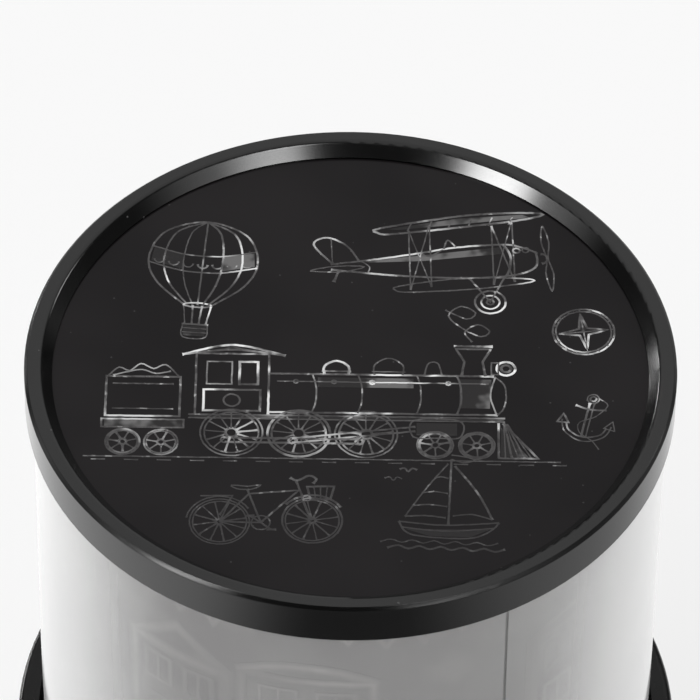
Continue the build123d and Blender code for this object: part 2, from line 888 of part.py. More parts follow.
def battery_cell(y, way):
    # Turned along Z with its nub up, then laid along X with the nub pointing the given way
    can = rod(cell_radius, 0, cell_length - cell_nub_length)
    can = fillet(can.edges().filter_by(GeomType.CIRCLE), cell_edge_round)
    cell = can + rod(cell_nub_radius, cell_length - cell_nub_length, cell_length)
    plate_side = bay_half_length - contact_thickness - contact_button_height
    laid = Pos(plate_side - cell_length, 0, 0) * Rot(0, 90, 0) * cell
    return Pos(0, y, cell_axis_height) * Rot(0, 0, 0 if way > 0 else 180) * laid


def contact_blank():
    return block(
        bay_half_length - contact_thickness, bay_half_length, -contact_width / 2, contact_width / 2,
        -contact_height / 2, contact_height / 2)


def button_contact():
    face = bay_half_length - contact_thickness
    bump = Rot(0, 90, 0) * rod(contact_button_radius, 0, contact_button_height)
    return contact_blank() + Pos(face - contact_button_height, 0, 0) * bump


def leaf_contact():
    # A bent strip rises from the foot of the plate to the cell and turns back to a free end
    face = bay_half_length - contact_thickness
    tip = face - leaf_reach
    high = contact_height / 2
    nose = contact_thickness * 2
    free_end = face - leaf_reach / 2
    strip = Polyline(
        (face + contact_thickness / 2, -high), (tip, -nose), (tip, nose), (free_end, high),
        (free_end + contact_thickness, high), (tip + contact_thickness, nose),
        (tip + contact_thickness, -nose), (face + contact_thickness / 2, -high + nose),
        close=True)
    leaf = extrude(Plane.XZ * make_face(strip), leaf_width / 2, both=True)
    return contact_blank() + leaf


def contacts(shape, at_nub):
    placed = []
    for y, way in cell_places():
        side = way if at_nub else -way
        placed.append(Pos(0, y, cell_axis_height) * Rot(0, 0, 0 if side > 0 else 180) * shape)
    return Compound(children=placed)


def battery_door():
    low = floor_gap
    half = bay_half_width - loose_gap
    door = block(-bay_half_length + loose_gap, bay_half_length - loose_gap, -half, half, low, door_top)
    tab_half = door_tab_width / 2 - loose_gap
    door += block(0, step_far - loose_gap, -tab_half, tab_half, low, door_top)
    hook_low = door_top
    for y in (-half / 2, half / 2):
        door += block(
            -bay_half_length - door_hook_reach, -bay_half_length + 2 * door_hook_reach,
            y - door_hook_width / 2, y + door_hook_width / 2, hook_low, hook_low + door_hook_thickness)
    # Grip ribs across the outside, kept inside the thickness of the door
    for i in range(door_rib_count):
        x = -bay_half_length + loose_gap + (i + 2) * 2 * door_rib_width
        door -= block(x, x + door_rib_width, -half / 2, half / 2, low - overrun, low + door_rib_height)
    door -= rod(small_screw_radius + screw_fit, low - overrun, door_top + overrun, door_screw_x)
    return door - rod(small_head_radius + screw_fit, low - overrun, low + small_head_height / 2, door_screw_x)


def battery_door_screw():
    low = floor_gap - small_head_height / 2
    high = step_top + door_step_height
    return screw(small_screw_radius, small_head_radius, small_head_height, low, high, door_screw_x)


# Bottom cover and feet

def foot_first_angle():
    return screw_first_angle + 180 / screw_count


def bottom_cover():
    cover = rod(housing_inner - loose_gap, floor_gap, bottom_top)
    cover += block(
        -bay_half_length - bay_wall, bay_half_length + bay_wall,
        -bay_half_width - bay_wall, bay_half_width + bay_wall, floor_gap, bay_top + bay_wall)
    cover += block(
        bay_half_length, step_far + bay_wall, -door_tab_width / 2 - bay_wall, door_tab_width / 2 + bay_wall,
        floor_gap, step_top)
    boss_low = step_top - door_step_height / 2
    boss_high = step_top + door_step_height + bay_wall
    cover += rod(small_screw_radius + bay_wall, boss_low, boss_high, door_screw_x)
    cover -= block(
        -bay_half_length, bay_half_length, -bay_half_width, bay_half_width, floor_gap - overrun, bay_top)
    cover -= block(
        bay_half_length - overrun, step_far, -door_tab_width / 2, door_tab_width / 2,
        floor_gap - overrun, door_top + seat_gap)
    pilot_top = step_top + door_step_height + seat_gap
    cover -= rod(small_screw_radius + thread_fit, floor_gap, pilot_top, door_screw_x)
    half = bay_half_width - loose_gap
    for y in (-half / 2, half / 2):
        cover -= block(
            -bay_half_length - bay_wall - overrun, -bay_half_length + overrun,
            y - door_hook_width / 2 - loose_gap, y + door_hook_width / 2 + loose_gap,
            door_top - bond_gap, door_top + door_hook_thickness + loose_gap)
    pillar = rod(pillar_radius, floor_gap, deck_under, screw_circle)
    for one in around(pillar, screw_count, screw_first_angle):
        cover += one
    for shape in board_posts() + power_ribs():
        cover += shape
    head_top = floor_gap + screw_head_sink + screw_head_height
    passage = rod(screw_bore, floor_gap - overrun, deck_under + overrun, screw_circle)
    passage += rod(screw_head_radius + screw_fit, floor_gap - overrun, head_top, screw_circle)
    for one in around(passage, screw_count, screw_first_angle):
        cover -= one
    pocket = rod(foot_radius + bond_gap, floor_gap - overrun, floor_gap + foot_pocket_depth, foot_circle)
    for one in around(pocket, screw_count, foot_first_angle()):
        cover -= one
    return cover


def housing_screws():
    # Each screw clamps bottom cover, deck and housing together
    high = deck_top + housing_boss_height - bottom_thickness
    one = screw(screw_shank_radius, screw_head_radius, screw_head_height, floor_gap + screw_head_sink, high)
    return Compound(children=around(Pos(screw_circle, 0, 0) * one, screw_count, screw_first_angle))


def rubber_feet():
    foot = rod(foot_radius, 0, floor_gap + foot_pocket_depth)
    foot = fillet(foot.edges().group_by(Axis.Z)[0], floor_gap / 3)
    return Compound(children=around(Pos(foot_circle, 0, 0) * foot, screw_count, foot_first_angle()))


os.makedirs("parts", exist_ok=True)

write("top_ring", top_ring())
write("top_film", top_film())
write("film_window", film_window())
write("cover_tube", cover_tube())
write("side_film", side_film())
write("cover_foot", cover_foot())
write("turntable", turntable())
write("ring_gear", ring_gear())
write("thrust_washer", thrust_washer())
write("idler_gear", idler_gear())
write("idler_axle", idler_axle())
write("idler_clip", idler_clip())
write("motor_pinion", motor_pinion())
write("motor_shaft", motor_shaft())
write("gear_motor", gear_motor())
write("motor_screws", motor_screws())
write("drive_deck", drive_deck())
write("lamp_column", lamp_column())
write("column_screws", column_screws())
write("heat_sink", heat_sink())
write("led_board", led_board())
write("white_led", white_led())
write("colour_leds", colour_leds())
write("lamp_lens", lamp_lens())
write("lens_ring", lens_ring())
write("base_housing", base_housing())
for name, place in zip(("light_button", "colour_button", "turn_button"), button_places()):
    write(name, button(place))
write("tact_switches", tact_switches())
write("control_board", control_board())
write("power_socket", power_socket())
write("power_board", power_board())
for number, (place, way) in enumerate(cell_places(), start=1):
    write(f"battery_cell_{number}", battery_cell(place, way))
write("button_contacts", contacts(button_contact(), True))
write("leaf_contacts", contacts(leaf_contact(), False))
write("battery_door", battery_door())
write("battery_door_screw", battery_door_screw())
write("bottom_cover", bottom_cover())
write("housing_screws", housing_screws())
write("rubber_feet", rubber_feet())

print("idler at", round(idler_x, 3), round(idler_y, 3))
print("pinion at", round(pinion_x, 3), round(pinion_y, 3))
print("switch face at", round(switch_face(), 3), "board face at", round(board_face(), 3))
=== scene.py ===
import random
from math import asin, cos, dist, hypot, pi, radians, sin

import bmesh
import bpy
from mathutils import Matrix, Vector


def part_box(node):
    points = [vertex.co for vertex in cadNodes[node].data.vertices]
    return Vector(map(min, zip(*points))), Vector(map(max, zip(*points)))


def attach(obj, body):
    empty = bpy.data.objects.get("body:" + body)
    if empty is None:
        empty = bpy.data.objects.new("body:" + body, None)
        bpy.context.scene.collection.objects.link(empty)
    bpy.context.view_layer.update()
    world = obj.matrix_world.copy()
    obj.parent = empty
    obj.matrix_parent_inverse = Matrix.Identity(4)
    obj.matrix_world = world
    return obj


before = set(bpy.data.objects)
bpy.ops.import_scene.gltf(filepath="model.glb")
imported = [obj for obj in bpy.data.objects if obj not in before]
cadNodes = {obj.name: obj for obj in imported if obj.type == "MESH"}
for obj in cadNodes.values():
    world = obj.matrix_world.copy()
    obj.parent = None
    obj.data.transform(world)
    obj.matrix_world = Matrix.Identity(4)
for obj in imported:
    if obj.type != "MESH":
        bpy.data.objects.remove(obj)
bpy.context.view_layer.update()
print("frame loaded,", len(cadNodes), "nodes")

mm = 0.001
scene = bpy.context.scene
scene.view_settings.view_transform = "Standard"


# Camera as the photograph was taken, from a fit to the circles of the ring

photoView = {
    "aimHeight": 0.146,     # top of the ring
    "distance": 1.32,
    "tilt": 47.2,           # degrees below the horizon
    "nod": 0.0017,          # radians about the camera's own axes
    "turn": 0.000126,
    "roll": 0.0145,
    "sensor": 36,           # mm, as the lens
    "lens": 369.63,
    "clip": (0.05, 20),
}


def makeCamera(view):
    data = bpy.data.cameras.new("photoCamera")
    data.sensor_width = view["sensor"]
    data.lens = view["lens"]
    data.clip_start, data.clip_end = view["clip"]
    obj = bpy.data.objects.new("photoCamera", data)
    scene.collection.objects.link(obj)
    tilt = radians(view["tilt"])
    turn = Matrix.Rotation(pi / 2 - tilt + view["nod"], 4, "X")
    turn = turn @ Matrix.Rotation(view["turn"], 4, "Y") @ Matrix.Rotation(view["roll"], 4, "Z")
    place = Vector((0, -cos(tilt), sin(tilt))) * view["distance"]
    place.z += view["aimHeight"]
    obj.matrix_world = Matrix.Translation(place) @ turn
    scene.camera = obj


makeCamera(photoView)


# Short ways to build node trees

def colour(tone):
    # a grey level, a colour or a socket
    if isinstance(tone, float):
        return (tone, tone, tone, 1)
    return (*tone, 1) if isinstance(tone, tuple) else tone


class Nodes:
    def __init__(self, tree):
        self.tree = tree

    def feed(self, value, target):
        if isinstance(value, bpy.types.NodeSocket):
            self.tree.links.new(value, target)
        else:
            target.default_value = value

    def add(self, kind, sockets=None, **settings):
        made = self.tree.nodes.new("ShaderNode" + kind)
        for key, value in settings.items():
            setattr(made, key, value)
        for key, value in (sockets or {}).items():
            self.feed(value, made.inputs[key])
        return made.outputs

    def group(self, name, **values):
        return self.add("Group", values, node_tree=bpy.data.node_groups[name])

    def calc(self, operation, a, b=0.0, clamp=False):
        return self.add("Math", {0: a, 1: b}, operation=operation, use_clamp=clamp)[0]

    def times(self, a, b, clamp=False):
        return self.calc("MULTIPLY", a, b, clamp)

    def remap(self, value, low, high, toLow=0.0, toHigh=1.0):
        sockets = {"Value": value, "From Min": low, "From Max": high, "To Min": toLow, "To Max": toHigh}
        return self.add("MapRange", sockets, interpolation_type="SMOOTHSTEP")["Result"]

    def windows(self, *steps):
        # product of soft steps, each a measure and where it rises
        level, *more = [self.remap(measure, *span) for measure, span in steps]
        for step in more:
            level = self.times(level, step)
        return level

    def blend(self, factor, a, b):
        return self.add("Mix", {0: factor, 6: colour(a), 7: colour(b)}, data_type="RGBA")[2]

    def noise(self, point, scale, detail=2.0, roughness=0.5):
        sockets = {"Vector": point, "Scale": scale, "Detail": detail, "Roughness": roughness}
        return self.add("TexNoise", sockets)["Fac"]

    def vector(self, operation, a, *b):
        return self.add("VectorMath", {0: a, **dict(enumerate(b, 1))}, operation=operation)

    def point(self):
        return self.add("TexCoord")["Object"]

    def split(self, vector):
        return self.add("SeparateXYZ", {"Vector": vector})

    def ink(self):
        return self.add("Attribute", attribute_name="ink")["Fac"]


# Effects that several finishes share

def makeGroup(name, inputs, outputs):
    tree = bpy.data.node_groups.new(name, "ShaderNodeTree")
    for label, value in inputs.items():
        socket = tree.interface.new_socket(name=label, in_out="INPUT", socket_type="NodeSocketFloat")
        socket.default_value = value
    for label in outputs:
        tree.interface.new_socket(name=label, in_out="OUTPUT", socket_type="NodeSocketFloat")
    return Nodes(tree), tree.nodes.new("NodeGroupInput").outputs, tree.nodes.new("NodeGroupOutput").inputs


def buildGrain():
    # Fine even grain of a moulded or cast surface, with slow soft patches
    t, inn, out = makeGroup("mouldGrain", {"Scale": 2600.0, "Patch": 60.0}, ("Height", "Patches"))
    point = t.point()
    t.feed(t.noise(point, inn["Scale"], 3.0, 0.6), out["Height"])
    t.feed(t.remap(t.noise(point, inn["Patch"]), 0.32, 0.68), out["Patches"])


def buildScratches():
    # Hairline scratches in two directions, thinned out by patches
    t, inn, out = makeGroup("hairScratches", {"Scale": 90.0, "Amount": 0.5}, ("Mask", "Height"))
    point = t.point()
    lines = []
    for turn, stretch in ((0.5, 26.0), (2.1, 31.0)):
        sockets = {"Vector": point, "Rotation": (0.35, turn / 3, turn), "Scale": (1, stretch, 1)}
        off = t.calc("SUBTRACT", t.noise(t.add("Mapping", sockets)[0], inn["Scale"], 1.0), 0.5)
        lines.append(t.remap(t.calc("ABSOLUTE", off), 0.0, 0.012, 1.0, 0.0))
    patch = t.noise(point, t.times(inn["Scale"], 0.7))
    kept = t.times(t.calc("MAXIMUM", *lines), t.remap(patch, 0.5, 0.7))
    mask = t.times(kept, inn["Amount"], True)
    t.feed(mask, out["Mask"])
    t.feed(t.times(mask, -1.0), out["Height"])


def buildDust():
    # Sparse specks of dust
    t, inn, out = makeGroup("dustSpecks", {"Scale": 420.0, "Size": 0.1, "Share": 0.2}, ("Mask",))
    cells = t.add("TexVoronoi", {"Vector": t.point(), "Scale": inn["Scale"]})
    speck = t.calc("LESS_THAN", cells["Distance"], inn["Size"])
    pick = t.add("SeparateColor", {"Color": cells["Color"]})[0]
    t.feed(t.times(speck, t.calc("LESS_THAN", pick, inn["Share"])), out["Mask"])


def buildTurned():
    # Fine lines that run round the upright axis, as on a turned or rolled piece
    t, inn, out = makeGroup("turnedLines", {"Scale": 5200.0, "Sweep": 5.0}, ("Height", "Streaks"))
    x, y, z = t.split(t.point())
    radius = t.calc("SQRT", t.calc("ADD", t.times(x, x), t.times(y, y)))
    away = t.add("CombineXYZ", {0: radius, 1: z, 2: 0.0})[0]
    flat = t.vector("MULTIPLY", t.vector("NORMALIZE", t.point())[0], (1, 1, 0.2))[0]
    t.feed(t.noise(away, inn["Scale"], 3.0, 0.65), out["Height"])
    t.feed(t.remap(t.noise(flat, inn["Sweep"], 3.0), 0.35, 0.65), out["Streaks"])


def buildBrushed():
    # Short parallel brushing along X
    t, inn, out = makeGroup("brushedLines", {"Scale": 900.0, "Stretch": 0.04}, ("Height", "Tone"))
    pulled = t.vector("MULTIPLY", t.point(), t.add("CombineXYZ", {0: inn["Stretch"], 1: 1.0, 2: 1.0})[0])[0]
    lines = t.noise(pulled, inn["Scale"], 4.0, 0.6)
    t.feed(lines, out["Height"])
    t.feed(t.remap(lines, 0.35, 0.65), out["Tone"])


for build in (buildGrain, buildScratches, buildDust, buildTurned, buildBrushed):
    build()
print("shared effects built,", len(bpy.data.node_groups))


# Finishes

grainRange = (0.3, 0.7)     # where nearly all of a noise lies


class Finish(Nodes):
    # A material and the nodes round its shader
    def __init__(self, name, plain):
        self.made = bpy.data.materials.new(name)
        self.made.use_nodes = True
        super().__init__(self.made.node_tree)
        self.shader = self.tree.nodes["Principled BSDF"]
        for socket, value in plain.items():
            self.put(socket, value)

    def put(self, socket, value):
        self.feed(value, self.shader.inputs[socket])

    def plus(self, socket, more):
        # on top of what the socket is fed with
        self.put(socket, self.calc("ADD", self.shader.inputs[socket].links[0].from_socket, more))

    def mouldGrain(self, scale, patch):
        return self.group("mouldGrain", Scale=scale, Patch=patch)

    def hairScratches(self, scale, amount):
        return self.group("hairScratches", Scale=scale, Amount=amount)

    def bump(self, height, distance, strength):
        # over a bump that is there already
        sockets = {"Height": height, "Distance": distance, "Strength": strength}
        for link in self.shader.inputs["Normal"].links:
            sockets["Normal"] = link.from_socket
        self.put("Normal", self.add("Bump", sockets)[0])


# In a look stand grain (scale of the fine grain and of its patches), tones (what the patches go between), clouds
# (scale, span, share, tone), scratches (scale, amount, share, tone), dust (scale, size, how many, share, tone), ink
# (span, tone of thin ink), by (what a socket gets from the height or the patches of the grain), bump (metres,
# strength) and worn (what the scratches add to the roughness, and their bump)

def gloss(tones, shine):
    return {
        "plain": {"Specular IOR Level": shine}, "grain": (1500.0, 32.0), "tones": tones,
        "scratches": (48.0, 0.5, 0.12, 0.12), "dust": (300.0, 0.08, 0.12, 0.3, 0.2),
        "by": {"Roughness": ("Patches", 0.2, 0.27)}, "bump": (3e-6, 0.35), "worn": (0.15, 4e-6, 0.5)}


def clear(tint, rough):
    return {
        "plain": {"IOR": 1.49, "Transmission Weight": 1.0}, "grain": (1200.0, 30.0), "tones": (tint, 0.97),
        "scratches": (50.0, 0.4, 0.0, 0.0),
        "by": {"Roughness": ("Patches", rough, rough * 2)}, "worn": (0.2, 4e-6, 0.4)}


def moulded(dark, pale, rough, depth=1e-5, scale=1800.0):
    return {
        "grain": (scale, 70.0), "tones": (dark, pale), "dust": (500.0, 0.09, 0.12, 0.25, 0.25),
        "by": {"Roughness": ("Height", *rough)}, "bump": (depth, 0.4)}


looks = {
    # turned and lacquered black, almost without a colour of its own
    "blackRing": {
        "plain": {"Anisotropic": 0.55, "Specular IOR Level": 0.5}, "grain": (3200.0, 45.0),
        "tones": (0.0022, 0.0038), "scratches": (70.0, 0.35, 0.2, 0.05), "dust": (330.0, 0.07, 0.12, 0.35, 0.16)},
    "blackGloss": gloss((0.005, 0.009), 0.2),
    "buttonGloss": gloss((0.008, 0.014), 0.4),
    # moulded black with a spark grain, for the pieces inside and under the base
    "blackSatin": {
        "grain": (2400.0, 40.0), "tones": (0.017, 0.027), "dust": (360.0, 0.08, 0.15, 0.4, 0.16),
        "by": {"Roughness": ("Height", 0.42, 0.6)}, "bump": (3e-5, 0.45)},
    # black print, dull, a little browner where the ink lies thick
    "printedFilm": {
        "plain": {"Specular IOR Level": 0.0, "Coat IOR": 1.2, "Coat Roughness": 0.08}, "grain": (5200.0, 26.0),
        "tones": ((0.0112, 0.0101, 0.0108), (0.0153, 0.0136, 0.0144)), "dust": (520.0, 0.09, 0.1, 0.3, 0.14),
        "by": {"Roughness": ("Height", 0.5, 0.6), "Coat Weight": ("Patches", 0.9, 1.0)}, "bump": (2e-6, 0.2)},
    # grey film bent round inside the tube, its print seen faintly
    "stripFilm": {
        "plain": {"Specular IOR Level": 0.3}, "grain": (2600.0, 28.0),
        "tones": ((0.375, 0.367, 0.369), (0.43, 0.427, 0.425)),
        "clouds": (75.0, (0.5, 0.66), 0.5, (0.47, 0.464, 0.46)),
        "by": {"Roughness": ("Height", 0.4, 0.52)}, "bump": (6e-6, 0.4)},
    # milky clear tube
    "paleTube": {
        "plain": {"IOR": 1.49}, "grain": (900.0, 22.0), "tones": (0.9, (0.94, 0.94, 0.935)),
        "dust": (300.0, 0.06, 0.1, 0.2, 0.4), "by": {"Roughness": ("Patches", 0.1, 0.16)}, "bump": (3e-6, 0.3)},
    # paler lines in the grey print of the strip, whose edges and thin places have the strip's own tone
    "stripLines": {
        "plain": {"Roughness": 0.5, "Specular IOR Level": 0.3}, "grain": (900.0, 120.0),
        "tones": ((0.475, 0.468, 0.463), (0.55, 0.546, 0.538)), "ink": ((0.0, 0.9), (0.42, 0.414, 0.413)),
        "bump": (4e-6, 0.3)},
    "paleMark": {"plain": {"Roughness": 0.5}, "grain": (3000.0, 200.0), "tones": (0.5, 0.62), "bump": (4e-6, 0.3)},
    # yellow phosphor under a clear dome
    "ledFace": {
        "plain": {"Roughness": 0.18, "Coat Roughness": 0.05}, "grain": (5000.0, 900.0),
        "tones": ((0.84, 0.66, 0.2), (0.9, 0.78, 0.34)), "by": {"Coat Weight": ("Height", 0.6, 1.0)},
        "bump": (4e-6, 0.3)},
    "clearWindow": clear((0.93, 0.95, 0.96), 0.03),
    "clearLens": clear((0.95, 0.96, 0.97), 0.02),
    "whiteMoulded": moulded((0.72, 0.72, 0.7), (0.79, 0.79, 0.77), (0.38, 0.52)),
    "gearNylon": moulded((0.66, 0.63, 0.54), (0.74, 0.71, 0.63), (0.34, 0.46), 6e-6),
    "darkRubber": moulded(0.022, 0.034, (0.72, 0.88), 3e-5, 2600.0),
    "switchBody": moulded((0.02, 0.02, 0.022), (0.03, 0.03, 0.033), (0.4, 0.55)),
    "lampBoard": moulded((0.74, 0.74, 0.72), (0.8, 0.8, 0.79), (0.3, 0.4), 6e-6),
    "seamTape": moulded((0.21, 0.208, 0.205), (0.27, 0.267, 0.263), (0.3, 0.42), 4e-6),
}


def grained(name, look):
    t = Finish(name, look.get("plain", {}))
    t.grain = t.mouldGrain(*look["grain"])
    tone = t.blend(t.grain["Patches"], *look["tones"])
    layers = []
    if "clouds" in look:
        scale, span, *rest = look["clouds"]
        layers.append((t.remap(t.noise(t.point(), scale), *span), *rest))
    if "scratches" in look:
        scale, amount, *rest = look["scratches"]
        t.hairs = t.hairScratches(scale, amount)
        layers.append((t.hairs["Mask"], *rest))
    if "dust" in look:
        scale, size, many, *rest = look["dust"]
        t.specks = t.group("dustSpecks", Scale=scale, Size=size, Share=many)["Mask"]
        layers.append((t.specks, *rest))
    for mask, share, level in layers:
        tone = t.blend(t.times(mask, share), tone, level)
    if "ink" in look:
        span, thin = look["ink"]
        tone = t.blend(t.remap(t.ink(), *span), thin, tone)
    t.put("Base Color", tone)
    for socket, (mark, low, high) in look.get("by", {}).items():
        t.put(socket, t.remap(t.grain[mark], *(grainRange if mark == "Height" else (0, 1)), low, high))
    if "bump" in look:
        t.bump(t.grain["Height"], *look["bump"])
    if "worn" in look:
        share, *depth = look["worn"]
        t.plus("Roughness", t.times(t.hairs["Mask"], share))
        t.bump(t.hairs["Height"], *depth)
    return t


ringLines = {"fine": 5200.0, "sweep": 5.0, "rough": (0.11, 0.155), "dustRough": 0.2, "bump": (4e-6, 0.6)}


def addLines(t, look):
    lines = t.group("turnedLines", Scale=look["fine"], Sweep=look["sweep"])
    t.put("Roughness", t.remap(lines["Streaks"], 0, 1, *look["rough"]))
    t.plus("Roughness", t.times(t.specks, look["dustRough"]))
    t.put("Tangent", t.add("Tangent", direction_type="RADIAL", axis="Z")[0])
    t.bump(lines["Height"], *look["bump"])


# The tube shows the strip where it is seen square on and closes up towards its sides
tubeAlpha = {"facing": (0.43, 0.87), "alpha": (0.03, 1.0), "hairs": (40.0, 0.4), "hairAlpha": 0.06}


def addAlpha(t, look):
    hair = t.times(t.hairScratches(*look["hairs"])["Mask"], look["hairAlpha"])
    facing = t.add("LayerWeight", {"Blend": 0.5})["Facing"]
    t.put("Alpha", t.calc("ADD", t.remap(facing, *look["facing"], *look["alpha"]), hair, True))


metals = {
    # dark and pale tone, roughness, scale of the brushing and how far it is drawn out
    "steel": ((0.5, 0.5, 0.51), (0.6, 0.6, 0.6), (0.2, 0.36)),
    "springSteel": ((0.5, 0.49, 0.45), (0.62, 0.61, 0.57), (0.16, 0.3)),
    "aluminium": ((0.62, 0.63, 0.64), (0.72, 0.73, 0.74), (0.3, 0.46), 1400.0, 0.1),
}


def metal(name, dark, pale, rough, scale=900.0, stretch=0.04):
    t = Finish(name, {"Metallic": 1.0})
    lines = t.group("brushedLines", Scale=scale, Stretch=stretch)
    grain = t.mouldGrain(1400.0, 120.0)
    t.put("Base Color", t.blend(t.times(grain["Patches"], 0.3), t.blend(lines["Tone"], dark, pale), dark))
    t.put("Roughness", t.remap(lines["Height"], *grainRange, *rough))
    t.bump(lines["Height"], 6e-6, 0.4)
    return t


# Printed sleeve of a cell: dark, with a bright band towards both ends
cellLook = {
    "sleeve": ((0.045, 0.05, 0.06), (0.07, 0.075, 0.085)),
    "band": (0.5, 0.37, 0.12),
    "bandFrom": 0.0125,     # metres from the middle of the light, along the cells
}


def cellCase(look):
    t = Finish("cellCase", {"Metallic": 0.6})
    grain = t.mouldGrain(1500.0, 80.0)
    scratch = t.hairScratches(120.0, 0.6)
    along = t.calc("ABSOLUTE", t.split(t.point())[0])
    sleeve = t.blend(grain["Patches"], *look["sleeve"])
    sleeve = t.blend(t.calc("LESS_THAN", along, look["bandFrom"]), look["band"], sleeve)
    t.put("Base Color", t.blend(t.times(scratch["Mask"], 0.3), sleeve, 0.5))
    t.put("Roughness", t.remap(grain["Patches"], 0, 1, 0.24, 0.34))
    t.bump(scratch["Height"], 6e-6, 0.5)
    return t


# Lacquered green board with buried tracks that show a little lighter
boardLook = {
    "lacquer": ((0.008, 0.07, 0.035), (0.012, 0.095, 0.045)),
    "track": (0.05, 0.2, 0.09),
    "tracks": {"Scale": 260.0, "Mortar Size": 0.035, "Mortar Smooth": 0.2, "Brick Width": 0.9, "Row Height": 0.3},
}


def circuitBoard(look):
    t = Finish("circuitBoard", {})
    grain = t.mouldGrain(2200.0, 90.0)
    tones = {"Color1": colour(0.0), "Color2": colour(0.0), "Mortar": colour(1.0)}
    tracks = t.add("TexBrick", {"Vector": t.point(), **tones, **look["tracks"]})["Fac"]
    t.put("Base Color", t.blend(t.times(tracks, 0.5), t.blend(grain["Patches"], *look["lacquer"]), look["track"]))
    t.put("Roughness", t.remap(grain["Height"], *grainRange, 0.25, 0.38))
    t.bump(tracks, 2e-5, 0.6)
    return t


# Clear lines in the black print: grey, with painted highlights where they caught the light in the middle and painted
# shade that dims them at the front. A place is in metres towards the back
filmLook = {
    "plain": {"Roughness": 0.5, "Specular IOR Level": 0.2},
    "broad": (120.0, 3.0, 0.6), "fine": 560.0,      # noises
    # painted highlight: lines made brilliant in a band across the middle, where they caught the light
    "paintedHighlight": ((0.44, 0.58), (-0.032, -0.002), (0.054, 0.024), (0.3, 0.78)),      # broad noise, places, ink
    "paintedGlint": ((0.57, 0.66), (0.4, 0.56), (-0.05, 0.01, 0.06, 0.55)),            # fine noise, broad noise, places
    # painted shade: the lines' grey is darker towards the front
    "paintedFrontShade": ((-0.045, -0.005), (0.04, 0.038, 0.039), (0.115, 0.111, 0.112)),
    "broadDull": ((0.6, 0.35), 0.5, (0.05, 0.048, 0.048)),
    "fineDull": ((0.5, 0.36), 0.6, (0.028, 0.026, 0.027)),
    "bright": 0.93,
    # painted sheen: the tone of the patches under the strokes
    "sheen": ((0.46, 0.6), (0.02, 0.0185, 0.019), (0.16, 0.157, 0.157)),
    "grain": (5200.0, 60.0), "bump": (4e-6, 0.3),
}


def filmLines(look):
    t = Finish("filmLines", look["plain"])
    point, ink = t.point(), t.ink()
    broad, fine = t.noise(point, *look["broad"]), t.noise(point, look["fine"])
    back = t.split(point)[1]
    # painted highlights over a middle band, and painted glints where the fine noise peaks
    paintedHighlight = t.windows(*zip((broad, back, back, ink), look["paintedHighlight"]))
    paintedHighlight = t.calc("MAXIMUM", paintedHighlight, t.windows(*zip((fine, broad, back), look["paintedGlint"])))
    # painted shade: the lines' tone darkens towards the front
    span, *paintedFrontShade = look["paintedFrontShade"]
    tone = t.blend(t.remap(back, *span), *paintedFrontShade)
    for texture, (span, share, dark) in ((broad, look["broadDull"]), (fine, look["fineDull"])):
        tone = t.blend(t.times(t.remap(texture, *span), share), tone, dark)
    span, *sheen = look["sheen"]
    sheen = t.blend(t.remap(broad, *span), *sheen)
    tone = t.blend(paintedHighlight, tone, look["bright"])
    t.put("Base Color", t.blend(t.calc("LESS_THAN", ink, 0.0), tone, sheen))
    t.bump(t.mouldGrain(*look["grain"])["Height"], *look["bump"])
    return t


finishes = {name: grained(name, look) for name, look in looks.items()}
addLines(finishes["blackRing"], ringLines)
addAlpha(finishes["paleTube"], tubeAlpha)
finishes |= {name: metal(name, *look) for name, look in metals.items()}
finishes |= {t.made.name: t for t in (cellCase(cellLook), circuitBoard(boardLook), filmLines(filmLook))}
print("finishes built,", len(finishes))

dressing = {
    "blackRing": ["top_ring"],
    "blackGloss": ["base_housing"],
    "buttonGloss": ["light_button", "colour_button", "turn_button"],
    "blackSatin": ["cover_foot", "turntable", "drive_deck", "bottom_cover", "battery_door"],
    "printedFilm": ["top_film"],
    "stripFilm": ["side_film"],
    "paleTube": ["cover_tube"],
    "clearWindow": ["film_window"],
    "clearLens": ["lamp_lens"],
    "whiteMoulded": ["lamp_column", "lens_ring"],
    "gearNylon": ["ring_gear", "idler_gear", "motor_pinion", "thrust_washer"],
    "darkRubber": ["rubber_feet"],
    "switchBody": ["tact_switches"],
    "lampBoard": ["led_board"],
    "steel": [
        "column_screws", "idler_axle", "motor_shaft", "gear_motor", "motor_screws", "housing_screws",
        "battery_door_screw", "power_socket"],
    "springSteel": ["idler_clip", "button_contacts", "leaf_contacts"],
    "aluminium": ["heat_sink"],
    "cellCase": ["battery_cell_1", "battery_cell_2", "battery_cell_3", "battery_cell_4"],
    "circuitBoard": ["control_board", "power_board"],
    "ledFace": ["white_led", "colour_leds"],
}
for finish, names in dressing.items():
    for name in names:
        for slot in cadNodes[name].material_slots:
            slot.material = finishes[finish].made
undressed = set(cadNodes) - {name for names in dressing.values() for name in names}
print("nodes dressed, left over:", sorted(undressed))


# Line drawings: thin strips laid over the print of the films, each motif a piece of its own

def pairs(path):
    # points, or a flat row of x, y, x, y
    return path if isinstance(path[0], tuple) else list(zip(path[::2], path[1::2]))


def neighbours(points, i, closed, steps):
    # past an end of an open row that end again
    count = len(points)
    return [points[(i + k) % count if closed else min(max(i + k, 0), count - 1)] for k in steps]


